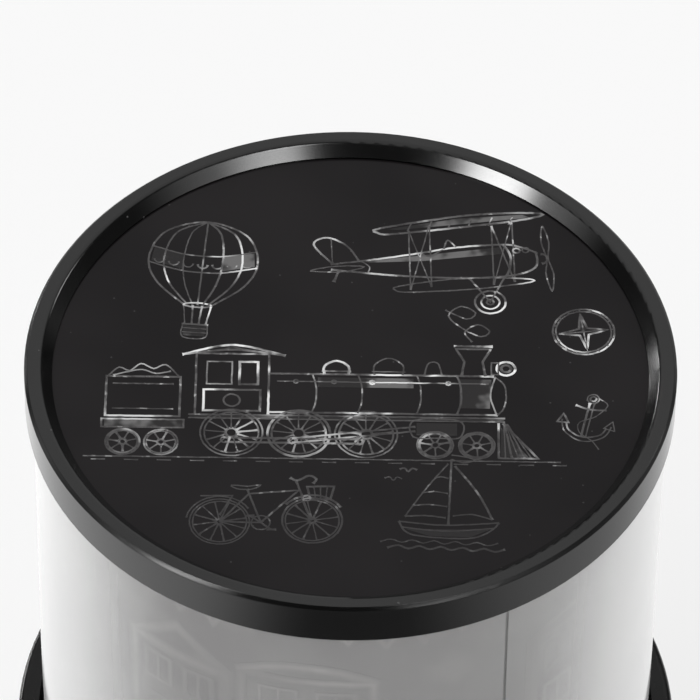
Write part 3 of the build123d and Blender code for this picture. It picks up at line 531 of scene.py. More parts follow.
class Pen:
    # Collects the strokes of one motif, in mm on the flat
    def __init__(self, seed):
        self.strokes, self.fills = [], []
        self.chance = random.Random(seed)

    def add(self, points, closed=False, width=1.0, ink=None):
        level = self.chance.uniform(0.35, 1.0) if ink is None else ink
        self.strokes.append((points, width, closed, level))

    def fill(self, *paths):
        self.fills += map(pairs, paths)

    def line(self, *paths, closed=False, **how):
        for points in map(pairs, paths):
            ends = points + points[:1] if closed else points
            walked = []
            for (ax, ay), (bx, by) in zip(ends, ends[1:]):
                count = max(1, int(hypot(bx - ax, by - ay) / 0.9))
                walked += [(ax + (bx - ax) * i / count, ay + (by - ay) * i / count) for i in range(count)]
            self.add(walked if closed else walked + points[-1:], closed, **how)

    def smooth(self, *paths, closed=False, **how):
        for points in map(pairs, paths):
            walked = []
            for i in range(len(points) if closed else len(points) - 1):
                p, q, r, s = neighbours(points, i, closed, (-1, 0, 1, 2))
                steps = max(3, int(dist(q, r) / 0.6))
                for t in [step / steps for step in range(steps)]:
                    walked.append(tuple(0.5 * (
                        2 * q[a] + (r[a] - p[a]) * t + (2 * p[a] - 5 * q[a] + 4 * r[a] - s[a]) * t * t
                        + (3 * q[a] - p[a] - 3 * r[a] + s[a]) * t ** 3) for a in (0, 1)))
            self.add(walked if closed else walked + points[-1:], closed, **how)

    def arc(self, x, y, r, start=0.0, end=360.0, squash=1.0, **how):
        whole = abs(end - start) >= 360
        count = max(8, int(abs(end - start) / 360 * 2 * pi * r / 0.5))
        turns = [radians(start + (end - start) * i / count) for i in range(count if whole else count + 1)]
        self.add([(x + r * cos(a), y + r * squash * sin(a)) for a in turns], whole, **how)

    def box(self, x0, y0, x1, y1, **how):
        self.line((x0, y0, x1, y0, x1, y1, x0, y1), closed=True, **how)

    def spoke(self, x, y, a, near, far, **how):
        # from one radius to another, at an angle in radians
        self.line([(x + r * cos(a), y + r * sin(a)) for r in (near, far)], **how)

    def wheel(self, x, y, r, spokes, hub, rims=(1.0, 0.87)):
        for share in rims:
            self.arc(x, y, r * share)
        self.arc(x, y, hub)
        for i in range(spokes):
            self.spoke(x, y, 2 * pi * (i + 0.3) / spokes, hub, r * rims[-1], width=0.8)


def drawLocomotive(pen):
    for x in (4, -8.3, -20.6):
        pen.wheel(x, -6.4, 5.7, 13, 1.1)
        pen.arc(x - 1.2, -8.2, 0.7)
    for x in (16.6, 24.2):
        pen.wheel(x, -8.8, 3.3, 7, 0.7)
    for x in (-33.4, -40.4):
        pen.wheel(x, -9, 3.1, 7, 0.7)
    for off in (-0.55, 0.55):
        pen.line((-21.8, -8.2 + off, 2.8, -8.2 + off), ink=1)
        pen.line((-9.5, -8.2 + off, 13, -4.9 + off), ink=0.8)
    pen.smooth((12.6, -6.8, 12.8, -2.8, 21, -2.8, 21.2, -6.8, 17, -7.1), closed=True)
    pen.fill(
        (13.2, -6.4, 20.6, -6.4, 20.6, -3.4, 13.2, -3.4), (-28.4, -2.9, 29.2, -2.9, 29.2, -2, -28.4, -2),
        (-43.9, -5.2, -29.6, -5.2, -29.6, -3.6, -43.9, -3.6), (-5, 5.2, 12.6, 5.2, 12.6, 7.6, -5, 7.6),
        (21, 0.4, 26.6, 0.4, 26.9, 7.6, 21, 7.6), (-29.2, 13, -20.7, 14.2, -11.8, 13, -20.7, 15),
        (28.6, -4.2, 33.6, -11.4, 28.6, -11.4))
    pen.line((-14, 8.4, 27.4, 8.4), ink=0.9)
    pen.line((-14, -1.2, 28, -1.2))
    pen.smooth((27.4, 8.4, 29.2, 6.4, 29.6, 3.4, 29.2, 0.6, 28, -1.2))
    for x in (-6, 2.4, 13.2, 20.6):
        pen.smooth((x, 8.4, x + 0.7, 5.4, x + 0.7, 1.6, x, -1.2))
    pen.smooth((27.6, 8.2, 26.7, 3.6, 27.8, -1))
    pen.line((-12.5, 6.5, 26.4, 6.5), width=0.8)
    for x in (-9, -2, 5, 12, 19):
        pen.arc(x, 6.5, 0.45, width=0.8)
    pen.line((21.4, 8.4, 21.9, 12, 20.4, 15.2, 26.8, 15.2, 25.3, 12, 25.8, 8.4))
    pen.line((20, 15.9, 27.2, 15.9), ink=1)
    for x, wide, high in ((8, 2.6, 4.2), (-1.6, 2.2, 3.4)):
        brow = 8.4 + high * 0.6
        pen.smooth((x - wide, 8.4, x - wide, brow, x, 8.4 + high, x + wide, brow, x + wide, 8.4))
        pen.line((x - wide - 0.5, 9.2, x + wide + 0.5, 9.2), width=0.8)
    pen.smooth((14.6, 8.6, 15.2, 11.2, 16.2, 11.8, 17.2, 11.2, 17.8, 8.6))
    pen.arc(29.6, 10.4, 1.7, ink=1)
    pen.arc(29.6, 10.4, 0.9, ink=1)
    pen.box(26.9, 8.9, 28.2, 11.8)
    pen.line((-14, -2, -14, 13.2, -27.4, 13.2, -27.4, -2))
    pen.smooth((-30, 12.9, -20.7, 15.4, -11, 12.9), ink=1)
    pen.smooth((-30, 12.9, -20.7, 14.2, -11, 12.9))
    pen.box(-25.4, 5.6, -20.8, 11.2)
    pen.box(-19.4, 5.6, -16, 11.2)
    pen.box(-25.9, -1, -15.5, 4.2)
    pen.arc(-20.7, 1.6, 1.5)
    for y in (-2, -2.9):
        pen.line((-28.6, y, 29.4, y))
    pen.line((29, -3.2, 35.4, -11.8, 28.2, -11.8, 28.2, -3.2), ink=0.9)
    for i in range(1, 6):
        pen.line((29 + i * 0.15, -3.4, 28.2 + i * 1.2, -11.8), width=0.8)
    pen.box(-43.8, -2.6, -30.2, 7.2)
    pen.line((-44.4, -3.4, -29.4, -3.4, -29.4, -5.4, -44.4, -5.4), closed=True)
    pen.smooth(
        (-43.4, 7.4, -41.6, 9.4, -39.6, 8.6, -37.6, 10.4, -35.2, 9.2, -33, 10.2, -30.6, 7.4),
        (-42.6, 7.4, -40.4, 8.2, -37.4, 8.9, -34.8, 8, -32, 8.6))
    for y in (5.4, -0.8):
        pen.line((-42.6, y, -31.4, y), width=0.8)
    pen.line((-47.5, -12.6, 39.5, -12.6), ink=0.5)
    for i in range(15):
        pen.line((-46 + i * 6, -13.4, -43.4 + i * 6, -13.4), width=0.8, ink=0.4)
    pen.smooth(
        (23.4, 17, 22, 19.4, 24.4, 21.4, 26.6, 19.8, 25, 18.4, 21.6, 20.4, 19, 23.6, 21.4, 26, 24, 24.4, 22.4, 22.8,
        18.4, 25))


def drawPlane(pen):
    pen.smooth((-22, 2.6, -12, 3.3, -3, 4.3, 1, 4.9, 8, 5.2, 14, 4.8, 18.6, 2.4), ink=0.9)
    pen.smooth(
        (-22, 1.2, -10, -1.4, 3, -3.2, 13, -3.4, 18, -1.6, 18.6, 2.4), (12.4, 5, 13.4, 2.4, 13.2, -0.6, 12.2, -3.4))
    pen.arc(19.4, 0.6, 1.3, -90, 90)
    pen.smooth((20.6, 9.4, 21.4, 5, 20.8, 0.6, 21.4, -3.8, 20.6, -8.2, 19.9, -3.8, 20.5, 0.6, 19.9, 5), closed=True)
    for x in (14.8, 16.6):
        pen.arc(x, 3.2, 0.7)
    pen.fill(
        (-18, 2.6, -3, 3.6, 11.6, 4.4, 11.8, 2.6, -4, 2),
        (-8, 10.8, 6, 11.4, 18.4, 12, 17, 12.9, 4, 12.9, -10, 11.2))
    pen.smooth((-11, 11.6, 6, 13.6, 19, 13.2, 20.4, 12.2, 12, 11, -8, 9.8, -12, 10.4), closed=True, ink=1)
    pen.smooth((-9, -4.4, 2, -3.4, 14, -4.2, 17, -5.4, 6, -6.4, -7, -6.2, -10, -5.4), closed=True)
    for x in (-7, 9.4):
        pen.line((x, -5.6, x + 1.2, 10.4), (x + 4.2, -5.2, x + 5.4, 11.6))
        pen.line((x, -5.6, x + 5.4, 11.6), (x + 4.2, -5.2, x + 1.2, 10.4), width=0.8)
    for x in range(-6, 18, 4):
        pen.line((x, 10.4, x + 1, 12.6), width=0.8, ink=0.4)
    pen.smooth(
        (0.6, 4.9, 1.6, 7.2, 3, 5.2), (-4.2, 4.2, -2.4, 3.2, 0.4, 4.8),
        (-21.6, 2.7, -24.8, 8.2, -22, 9.9, -18.4, 7.4, -16.4, 3.2))
    pen.line((-21.6, 2.7, -21.2, 9.6), width=0.8)
    pen.smooth((-26, 1.2, -21, 2, -15.5, 1.4, -20, 0.4), closed=True)
    pen.wheel(8.2, -10.2, 3, 0, 0.7, (1, 0.6))
    pen.line((4.8, -3.4, 8.2, -10.2, 11.8, -3.6), (-20.4, 1, -21.8, -2.2))
    pen.smooth((-16, 3, -14.4, 1.2, -15, -0.4), width=0.8)


def drawBalloon(pen):
    side = [(-3, -9.6), (-9.6, -3.2), (-12, 4), (-9, 12), (0, 15.6)]
    pen.smooth(side + [(-x, y) for x, y in reversed(side[:-1])], ink=0.9)
    for share in (-0.72, -0.36, 0, 0.36, 0.72):
        pen.smooth([(-x * share, y) for x, y in side])
    pen.smooth((-11.3, 7.4, -5, 5.6, 0, 5.2, 5, 5.6, 11.3, 7.4), (-11.9, 2.6, -5, 0.6, 0, 0.2, 5, 0.6, 11.9, 2.6))
    for i in range(7):
        x = -9.6 + i * 3.2
        pen.arc(x, 4.2 - 1.6 * cos(radians(x * 7)), 1.1, 180, 360)
    pen.arc(0, -9.6, 3, squash=0.22)
    pen.fill(
        (-11.4, 3, -4.3, 1, -4.2, 5.3, -11, 7), (4.3, 1, 11.4, 3, 11, 7, 4.2, 5.3),
        (-2.4, -18.8, 2.3, -18.8, 2.6, -15.8, -2.6, -15.8))
    for x in (-3, -1, 1, 3):
        pen.line((x, -9.8, x * 0.75, -15.4), width=0.8)
    pen.smooth((-2.7, -15.4, -2.4, -19.2, 2.4, -19.2, 2.7, -15.4))
    pen.line((-2.9, -15.4, 2.9, -15.4), ink=1)
    for y in (-16.6, -17.8):
        pen.line((-2.6, y, 2.6, y), width=0.8)


def drawBicycle(pen):
    for x, end in ((-8.8, 170), (8.8, 140)):
        pen.wheel(x, -3, 5.7, 12, 0.6, (1, 0.9))
        pen.arc(x, -3, 6.4, 30, end)
    pen.line((-8.8, -3, -1, -3.4, -3.4, 5.2), (-8.8, -3, -3.1, 4, 6.4, 4.7, -1, -3.4), ink=0.8)
    pen.line((6, 7, 7.1, 3))
    pen.smooth((7, 3.2, 7.7, 0.2, 8.8, -3))
    pen.smooth((4.8, 8, 6.2, 7.2, 8.4, 8.4, 9.8, 7.6, 9.2, 6.4), ink=1)
    pen.smooth((-6.4, 6.2, -3.4, 5.9, -0.8, 6.2, -2.8, 5.1, -5.4, 5.3), closed=True)
    pen.arc(-1, -3.4, 1.8)
    pen.line((-3, -1.6, 1, -5.2))
    for x, y in ((-3, -1.6), (1, -5.2)):
        pen.line((x - 0.9, y, x + 0.9, y), width=1.2)
    pen.line((8, 5.6, 13.2, 5.6, 12.4, 2.4, 8.6, 2.4), closed=True)
    for i in range(1, 4):
        pen.line((8 + i * 1.3, 5.6, 8.6 + i * 0.95, 2.4), width=0.8, ink=0.4)
    pen.line((-12.4, 3.6, -6.2, 3.6, -8.8, -1.4), width=0.8)


def drawBoat(pen):
    pen.smooth((-9.4, -4.8, -7.6, -7.8, -3, -8.8, 5.4, -8.7, 9.4, -6.6, 11.2, -4.2), ink=0.8)
    pen.smooth((-9.4, -4.8, 0, -5.4, 11.2, -4.2))
    pen.smooth((-8.6, -6.4, 0, -7, 10, -5.8), width=0.8)
    pen.line((0.8, -5.2, 0.8, 12.8), ink=0.9)
    pen.fill((-8, -6.8, 9.2, -6.2, 5.4, -8.4, -3, -8.5))
    pen.smooth(
        (0.2, 11.6, -4.2, 4.4, -8.2, -3.4), (-8.2, -3.4, -4, -3, 0.2, -3.4), (1.6, 11, 6.6, 3.6, 9.8, -3.4),
        (9.8, -3.4, 5.6, -2.2, 1.6, -2.8))
    for y, x in ((7.4, -2.5), (3.2, -5), (-0.4, -6.8)):
        pen.smooth((x, y, x / 2, y + 0.5, 0.4, y + 0.1), width=0.8)
    pen.smooth((0.8, 12.8, 3.4, 12, 5.6, 12.9, 3.2, 13.7, 0.8, 14))
    for y, off in ((-10.2, 0), (-11.8, 1.5)):
        pen.smooth([(-13 + off + i * 2.2, y + (0.45 if i % 2 else -0.35)) for i in range(12)])
    for x, y in ((-8, 9), (-11, 6.4)):
        pen.smooth((x - 1.8, y + 0.5, x - 0.8, y + 0.9, x, y, x + 0.8, y + 0.9, x + 1.8, y + 0.5))


def drawCompass(pen):
    pen.arc(0, 0, 6, ink=0.8)
    pen.arc(0, 0, 5.4)
    pen.fill((0, 0, 1, 1, 0, 4.6, -1, 1))
    star = []
    for i in range(8):
        a = radians(45 * i + 90)
        r = 4.8 if i % 2 == 0 else 1.2
        star.append((r * cos(a), r * sin(a)))
    pen.line(star, closed=True, ink=0.9)
    for tip in star[::2]:
        pen.line([(0, 0), tip], width=0.8)
    for i in range(16):
        pen.spoke(0, 0, radians(22.5 * i), 5.4, 6, width=0.8, ink=0.4)


def drawAnchor(pen):
    pen.arc(0, 6.2, 1.3)
    pen.arc(0, 6.2, 0.7)
    for x in (-0.5, 0.5):
        pen.line((x, 4.9, x, -5.2))
    pen.smooth(
        (-3.4, 3.6, 0, 3, 3.4, 3.6), (-5.4, -1, -4.2, -4.4, 0, -6.4, 4.2, -4.4, 5.4, -1),
        (-4.4, -1.6, -3.4, -3.8, 0, -5.2, 3.4, -3.8, 4.4, -1.6))
    for x in (-1, 1):
        pen.line((x * 6.3, -2, x * 5.4, 0.6, x * 3.8, -1.7), closed=True)
    pen.smooth((1.2, 6.6, 3.4, 5, 1.4, 1.2, -1.6, -1.2, -1, -4, 2, -5.8, 4, -8), width=0.8)


lidArt = {
    # motif: drawing, its seed, middle on the lid in mm, turn in degrees, size
    "locomotive": (drawLocomotive, 11, -1.0, -9.0, 0.0, 1.0),
    "biplane": (drawPlane, 23, 17.0, 27.0, 6.0, 0.95),
    "balloon": (drawBalloon, 37, -28.0, 24.5, -4.0, 0.85),
    "bicycle": (drawBicycle, 41, -15.0, -34.0, 2.0, 0.95),
    "sailBoat": (drawBoat, 53, 17.5, -32.5, -2.0, 0.88),
    "compass": (drawCompass, 61, 43.0, 11.0, 8.0, 0.95),
    "anchor": (drawAnchor, 67, 43.5, -11.0, -12.0, 0.85),
}

inks = {
    # in mm: width, how much broader strokes with much ink are, height of the middle and of the edges, share of the ink
    # at the edges, depth under the surface, wobble
    "lid": (0.3, 1.6, 0.025, 0.022, 1.0, 0.03, 0.035),
    "strip": (1.35, 0.0, 0.03, 0.006, 0.0, 0.05, 0.1),
    "sign": (0.34, 0.0, 0.02, 0.017, 1.0, 0.05, 0.0),
    "recess": (0.5, 0.0, 0.015, 0.012, 1.0, 0.05, 0.0),
}

stroke = {
    "step": 0.0015,         # mm between strokes that may cross, so that no two tops share a plane
    "steps": 12,
    "swellFrom": 0.6,       # ink
    "mitre": 1.5,
    "fade": 0.38,           # how much the ink comes and goes along a stroke
    "beat": (0.05, 0.16),   # and how fast, in radians a point
}


def keepPiece(name, mesh, body, slotName, *finishNames):
    for finish in finishNames:
        mesh.materials.append(finishes[finish].made)
    obj = bpy.data.objects.new(name, mesh)
    scene.collection.objects.link(obj)
    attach(obj, body)


def fillMesh(name, bm):
    mesh = bpy.data.meshes.new(name)
    bm.to_mesh(mesh)
    bm.free()
    return mesh


def strokeSides(points, closed, broad):
    # Every point of a stroke with the way to its left edge, longer at a corner
    for i, (x, y) in enumerate(points):
        (px, py), (nx, ny) = neighbours(points, i, closed, (-1, 1))
        ax, ay, bx, by = x - px, y - py, nx - x, ny - y
        a, b = hypot(ax, ay) or 1.0, hypot(bx, by) or 1.0
        dx, dy = ax / a + bx / b, ay / a + by / b
        d = hypot(dx, dy) or 1.0
        half = broad / 2 * min(stroke["mitre"], 2 / d if ax or ay and bx or by else 1.0)
        yield x, y, -dy / d * half, dx / d * half


def strokeFaces(base, count, around, closed):
    for i in range(count if closed else count - 1):
        here, there = base + around * i, base + around * ((i + 1) % count)
        for k in range(around):
            m = (k + 1) % around
            yield here + k, there + k, there + m, here + m
    if not closed:
        last = base + around * (count - 1)
        yield tuple(range(base, base + around))
        yield tuple(reversed(range(last, last + around)))


def layStrokes(name, pen, ink, place, body, finish, slotName):
    # Every stroke becomes a closed strip; place() takes a flat point and a height off the surface to a point in space
    corners, faces, levels = [], [], []
    width, swell, crown, rim, edge, sunk, wobble = inks[ink]
    # across a stroke: side, height off the surface, share of the ink
    section = ((1, -sunk, edge), (1, rim, edge), (0, crown, 1.0), (-1, rim, edge), (-1, -sunk, edge))
    chance = random.Random(len(name) * 7 + len(pen.strokes))
    for index, (points, wide, closed, level) in enumerate(pen.strokes):
        lift = index % stroke["steps"] * stroke["step"]
        phase, beat = chance.uniform(0, 6.3), chance.uniform(*stroke["beat"])
        faces += strokeFaces(len(corners), len(points), len(section), closed)
        broad = width * wide * (1 + swell * max(0.0, level - stroke["swellFrom"]))
        for i, (x, y, ox, oy) in enumerate(strokeSides(points, closed, broad)):
            x += chance.uniform(-1, 1) * wobble
            y += chance.uniform(-1, 1) * wobble
            now = level * (1 - stroke["fade"] + stroke["fade"] * sin(phase + i * beat))
            for side, high, share in section:
                corners.append(place(x + side * ox, y + side * oy, high + lift))
                levels.append(share * now)
    for shape in pen.fills:
        # a patch of painted sheen lies under the strokes and is marked by ink below nought
        base, count = len(corners), len(shape)
        for high in (-sunk, crown * 0.5):
            corners += [place(x, y, high) for x, y in shape]
        levels += [-1.0] * count * 2
        faces += [tuple(range(base + count, base + 2 * count)), tuple(reversed(range(base, base + count)))]
        for i in range(base, base + count):
            after = base + (i - base + 1) % count
            faces.append((i, after, count + after, count + i))
    mesh = bpy.data.meshes.new(name)
    mesh.from_pydata(corners, [], faces)
    mesh.attributes.new("ink", "FLOAT", "POINT").data.foreach_set("value", levels)
    bm = bmesh.new()
    bm.from_mesh(mesh)
    bmesh.ops.recalc_face_normals(bm, faces=bm.faces)
    bm.to_mesh(mesh)
    bm.free()
    keepPiece(name, mesh, body, slotName, finish)


def drawLid():
    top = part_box("top_film")[1].z
    for name, (draw, seed, x, y, turn, size) in lidArt.items():
        c, s = cos(radians(turn)) * size, sin(radians(turn)) * size

        def place(u, v, high):
            return ((x + u * c - v * s) * mm, (y + u * s + v * c) * mm, top + high * mm)

        pen = Pen(seed)
        draw(pen)
        layStrokes("art_" + name, pen, "lid", place, "cover", "filmLines", "strip_film")


# Houses with pennants above and a fence below, in mm: along the strip from its seam, and up from the ground
street = {
    "seam": 301.0,              # degrees
    "start": 6.0, "end": 30, "foot": 94.0,
    "wide": (17, 27), "high": (20, 28), "apart": (3, 9),
    "wall": (1.5, 2.4), "roof": 1.9, "gable": (5, 8), "arch": 3.4,
    "storey": 11.5, "columns": (0.14, 0.58), "pane": (0.28, 7.0),
    "garlands": 9, "garland": (137, 133.5), "pennant": (1.6, 2.8),
    "curls": 7, "curlFoot": (80, 92),
    "fence": (62, 76, 78.5), "picket": 2.8, "pickets": 6, "rails": (66, 72),
    "hill": (86, 4, 13),        # height, swing and how long it is
}


def drawHouses(pen, chance, look, around):
    at = look["start"]
    foot, (paneShare, paneHigh) = look["foot"], look["pane"]
    while at < around - look["end"]:
        wide, high = chance.uniform(*look["wide"]), chance.uniform(*look["high"])
        top, far = foot + high, at + wide
        pen.fill((at + 1, foot, far - 1, foot, far - 1, top - 1, at + 1, top - 1))
        pen.line((at, foot, at, top, far, top, far, foot), width=chance.uniform(*look["wall"]))
        if chance.random() < 0.5:
            ridge = top + chance.uniform(*look["gable"])
            pen.line((at - 1, top, at + wide / 2, ridge, far + 1, top), width=look["roof"])
        else:
            ridge = top + look["arch"]
            roof = (at - 1, top, at + wide * 0.3, ridge, at + wide * 0.7, ridge, far + 1, top)
            pen.smooth(roof, width=look["roof"])
        for row in range(int(high / 11)):
            for column in look["columns"]:
                x, y, across = at + wide * column, top - 10 - row * look["storey"], wide * paneShare
                pen.box(x, y, x + across, y + paneHigh, width=0.8)
                pen.line((x + across / 2, y, x + across / 2, y + paneHigh), width=0.6)
        at += wide + chance.uniform(*look["apart"])


def drawGarlands(pen, look, around):
    (high, low), (half, long), many = look["garland"], look["pennant"], look["garlands"]
    for i in range(many):
        a, b = i * around / many + 2, (i + 1) * around / many - 2
        bow = (a, high, (a * 3 + b) / 4, low + 1.2, (a + b) / 2, low, (a + 3 * b) / 4, low + 1.2, b, high)
        pen.smooth(bow, width=0.8)
        for share in (0.2, 0.4, 0.6, 0.8):
            x, y = a + (b - a) * share, low + 3.5 * (2 * share - 1) ** 2
            pen.line((x - half, y, x + half, y, x, y - long), closed=True)


def drawStrip(look):
    # Faint, all round
    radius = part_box("side_film")[1].x
    around = 2 * pi * radius / mm
    pen, chance = Pen(71), random.Random(5)
    drawHouses(pen, chance, look, around)
    drawGarlands(pen, look, around)
    for _ in range(look["curls"]):
        x, y = chance.uniform(0, around), chance.uniform(*look["curlFoot"])
        curl = pairs((0, 0, 2.4, 1.6, 3.4, -0.6, 1.6, -1.8, 0.2, -0.4, 1.6, 0.4))
        pen.smooth([(x + u, y + v) for u, v in curl])
    (low, high, tip), wide = look["fence"], look["picket"]
    for x in range(3, int(around) - 4, look["pickets"]):
        pen.line((x, low, x, high, x + wide / 2, tip, x + wide, high, x + wide, low))
    for y in look["rails"]:
        pen.line((2, y, around - 2, y), width=0.8)
    middle, swing, length = look["hill"]
    pen.smooth([(x, middle + swing * sin(x / length)) for x in range(2, int(around), 5)], width=1.4)

    def place(u, v, high):
        a = u * mm / radius + radians(look["seam"])
        r = radius + high * mm
        return (r * cos(a), r * sin(a), v * mm)

    layStrokes("art_street", pen, "strip", place, "cover", "stripLines", "strip_film")


seamTape = {"turn": 301.0, "wide": 7.0, "thick": 0.05, "ends": 0.6, "pieces": 12}


def tapeSeam(look):
    # A strip of tape on the inner face holds the two ends of the side film together
    low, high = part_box("side_film")
    outer = min(hypot(*v.co[:2]) for v in cadNodes["side_film"].data.vertices)
    half, ends = look["wide"] * mm / 2 / outer, look["ends"] * mm
    bm = bmesh.new()
    rows = []
    for i in range(look["pieces"] + 1):
        a = radians(look["turn"]) + half * (i / (look["pieces"] / 2) - 1)
        rows.append([
            bm.verts.new((r * cos(a), r * sin(a), z))
            for z in (low.z + ends, high.z - ends) for r in (outer, outer - look["thick"] * mm)])
    for a, b in zip(rows, rows[1:]):
        for i, j in ((0, 2), (2, 3), (3, 1), (1, 0)):
            bm.faces.new((a[i], a[j], b[j], b[i]))
    for row in (rows[0], rows[-1]):
        bm.faces.new((row[0], row[1], row[3], row[2]))
    bmesh.ops.recalc_face_normals(bm, faces=bm.faces)
    keepPiece("seam_tape", fillMesh("seam_tape", bm), "cover", "strip_film", "seamTape")


drawLid()
drawStrip(street)
tapeSeam(seamTape)
print("line drawings laid, seam taped")


# Signs on the buttons, dark crosses of painted shade for the recesses in the screw heads, parts on the boards

signs = {
    "sun": (1.15, 1.8, 2.7, 8),                     # radius, rays from and to, how many
    "discs": (1.35, (-0.8, -0.5, 0.8, -0.5, 0, 0.9)),
    "turn": (2.0, 60, 370, (0.9, 0.6, 1.97, 0.35, 2.5, 1.35)),  # radius, from, to, barb
}


def drawSigns(look):
    face = -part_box("colour_button")[0].y
    light, colours, turning = Pen(3), Pen(4), Pen(5)
    radius, near, far, rays = look["sun"]
    light.arc(0, 0, radius, ink=1.0)
    for i in range(rays):
        light.spoke(0, 0, radians(360 / rays * i), near, far)
    radius, middles = look["discs"]
    for x, y in pairs(middles):
        colours.arc(x, y, radius)
    radius, start, end, barb = look["turn"]
    turning.arc(0, 0, radius, start, end)
    turning.line(barb)
    for node, pen in (("light_button", light), ("colour_button", colours), ("turn_button", turning)):
        low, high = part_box(node)
        middle, rise = asin((low.x + high.x) / 2 / face), (low.z + high.z) / 2

        def place(u, v, off):
            a = middle + u * mm / face
            r = face + off * mm
            return (r * sin(a), -r * cos(a), rise + v * mm)

        layStrokes("sign_" + node, pen, "sign", place, node, "paleMark", "white_plastic")


def headPlaces(node, foot):
    # Middle and radius of every screw head, from the corners at the foot of the node
    heads = []
    for v in cadNodes[node].data.vertices:
        if v.co.z > foot + 0.02 * mm:
            continue
        near = [h for h in heads if dist(h[0], v.co[:2]) < 6 * mm]
        if near:
            near[0].append(v.co[:2])
        else:
            heads.append([v.co[:2]])
    for found in heads:
        xs, ys = zip(*found)
        yield (min(xs) + max(xs)) / 2, (min(ys) + max(ys)) / 2, (max(xs) - min(xs)) / 2


def markRecessShade(node, share=0.62):
    # A dark cross of painted shade in each head, where its recess would be, that share of it across
    pen, foot = Pen(9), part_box(node)[0].z
    for x, y, radius in headPlaces(node, foot):
        x, y, reach = x / mm, y / mm, radius / mm * share
        pen.line((x - reach, y, x + reach, y), (x, y - reach, x, y + reach))

    def place(u, v, off):
        return (u * mm, v * mm, foot - off * mm)

    layStrokes("recess_" + node, pen, "recess", place, "root", "blackSatin", "satin_black")


def chamferedBlock(bm, low, high, edge, tone):
    made = bmesh.ops.create_cube(bm, size=1.0)["verts"]
    for v in made:
        v.co = Vector([low[a] + (v.co[a] + 0.5) * (high[a] - low[a]) for a in range(3)]) * mm
    edges = list(dict.fromkeys(e for v in made for e in v.link_edges))
    cut = bmesh.ops.bevel(bm, geom=edges, offset=edge * mm, segments=2, affect="EDGES")
    for f in {f for v in made if v.is_valid for f in v.link_faces} | set(cut["faces"]):
        f.material_index = tone


# Parts in mm: two corners on the board, how far they stand off it, edge, and which of the finishes
boardParts = {
    "finishes": ("switchBody", "steel", "whiteMoulded"),
    "sunk": 0.02,
    "onWall": [(-6, 11, 2, 17, 1.4, 0.15, 0), (-20, 9, -13.5, 12.6, 3.2, 0.2, 2)],
    "legs": (5, -5.4, 1.55, 0.6, ((9.9, 11.1), (16.9, 18.1)), 0.4, 0.05, 1),    # how many, from, apart, wide, rows
    "small": (7, 4, 5.5, 3.1, 9.6, 7.5, 0.4, 1.0, 2.0, 0.6, 0.08, 0),   # how many, in a row, places, stray, size
    "onTop": [(-2.6, 46, 2.6, 50, 1.3, 0.15, 0)] + [
        (x, low, x + 1.5, high, *rest) for x in (-6.4, 4.9)
        for low, high, *rest in ((45.4, 48.4, 0.9, 0.1, 2), (50.2, 52.6, 0.7, 0.1, 0))],
}


def fitBoards(look):
    # On the inner face of the button board and on the socket's board
    inner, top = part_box("control_board")[1].y / mm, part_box("power_board")[1].z / mm
    sunk, chance, bm = look["sunk"], random.Random(8), bmesh.new()
    count, start, apart, wide, rows, *rest = look["legs"]
    legs = [
        (start + i * apart, low, start + i * apart + wide, high, *rest) for i in range(count) for low, high in rows]
    count, row, startX, apartX, startZ, apartZ, stray, wide, high, *rest = look["small"]
    small = []
    for i in range(count):
        x, z = startX + (i % row) * apartX, startZ + (i // row) * apartZ + chance.uniform(-stray, stray)
        small.append((x, z, x + wide, z + high, *rest))
    for x0, z0, x1, z1, off, edge, tone in look["onWall"] + legs + small:
        chamferedBlock(bm, (x0, inner - sunk, z0), (x1, inner + off, z1), edge, tone)
    for x0, y0, x1, y1, off, edge, tone in look["onTop"]:
        chamferedBlock(bm, (x0, y0, top - sunk), (x1, y1, top + off), edge, tone)
    keepPiece("boardParts", fillMesh("boardParts", bm), "root", "switch_body", *look["finishes"])


drawSigns(signs)
# dark crosses of painted shade stand in for the recesses of the screws
for node in ("housing_screws", "battery_door_screw", "column_screws", "motor_screws"):
    markRecessShade(node)
fitBoards(boardParts)
print("signs, recesses and board parts made")


# Floor and world. The surfaces are lit evenly, and a glossy one mirrors a dark room with a bright ceiling at the
# back, a pale floor at the sides and soft boxes. Places are in metres across and towards the back

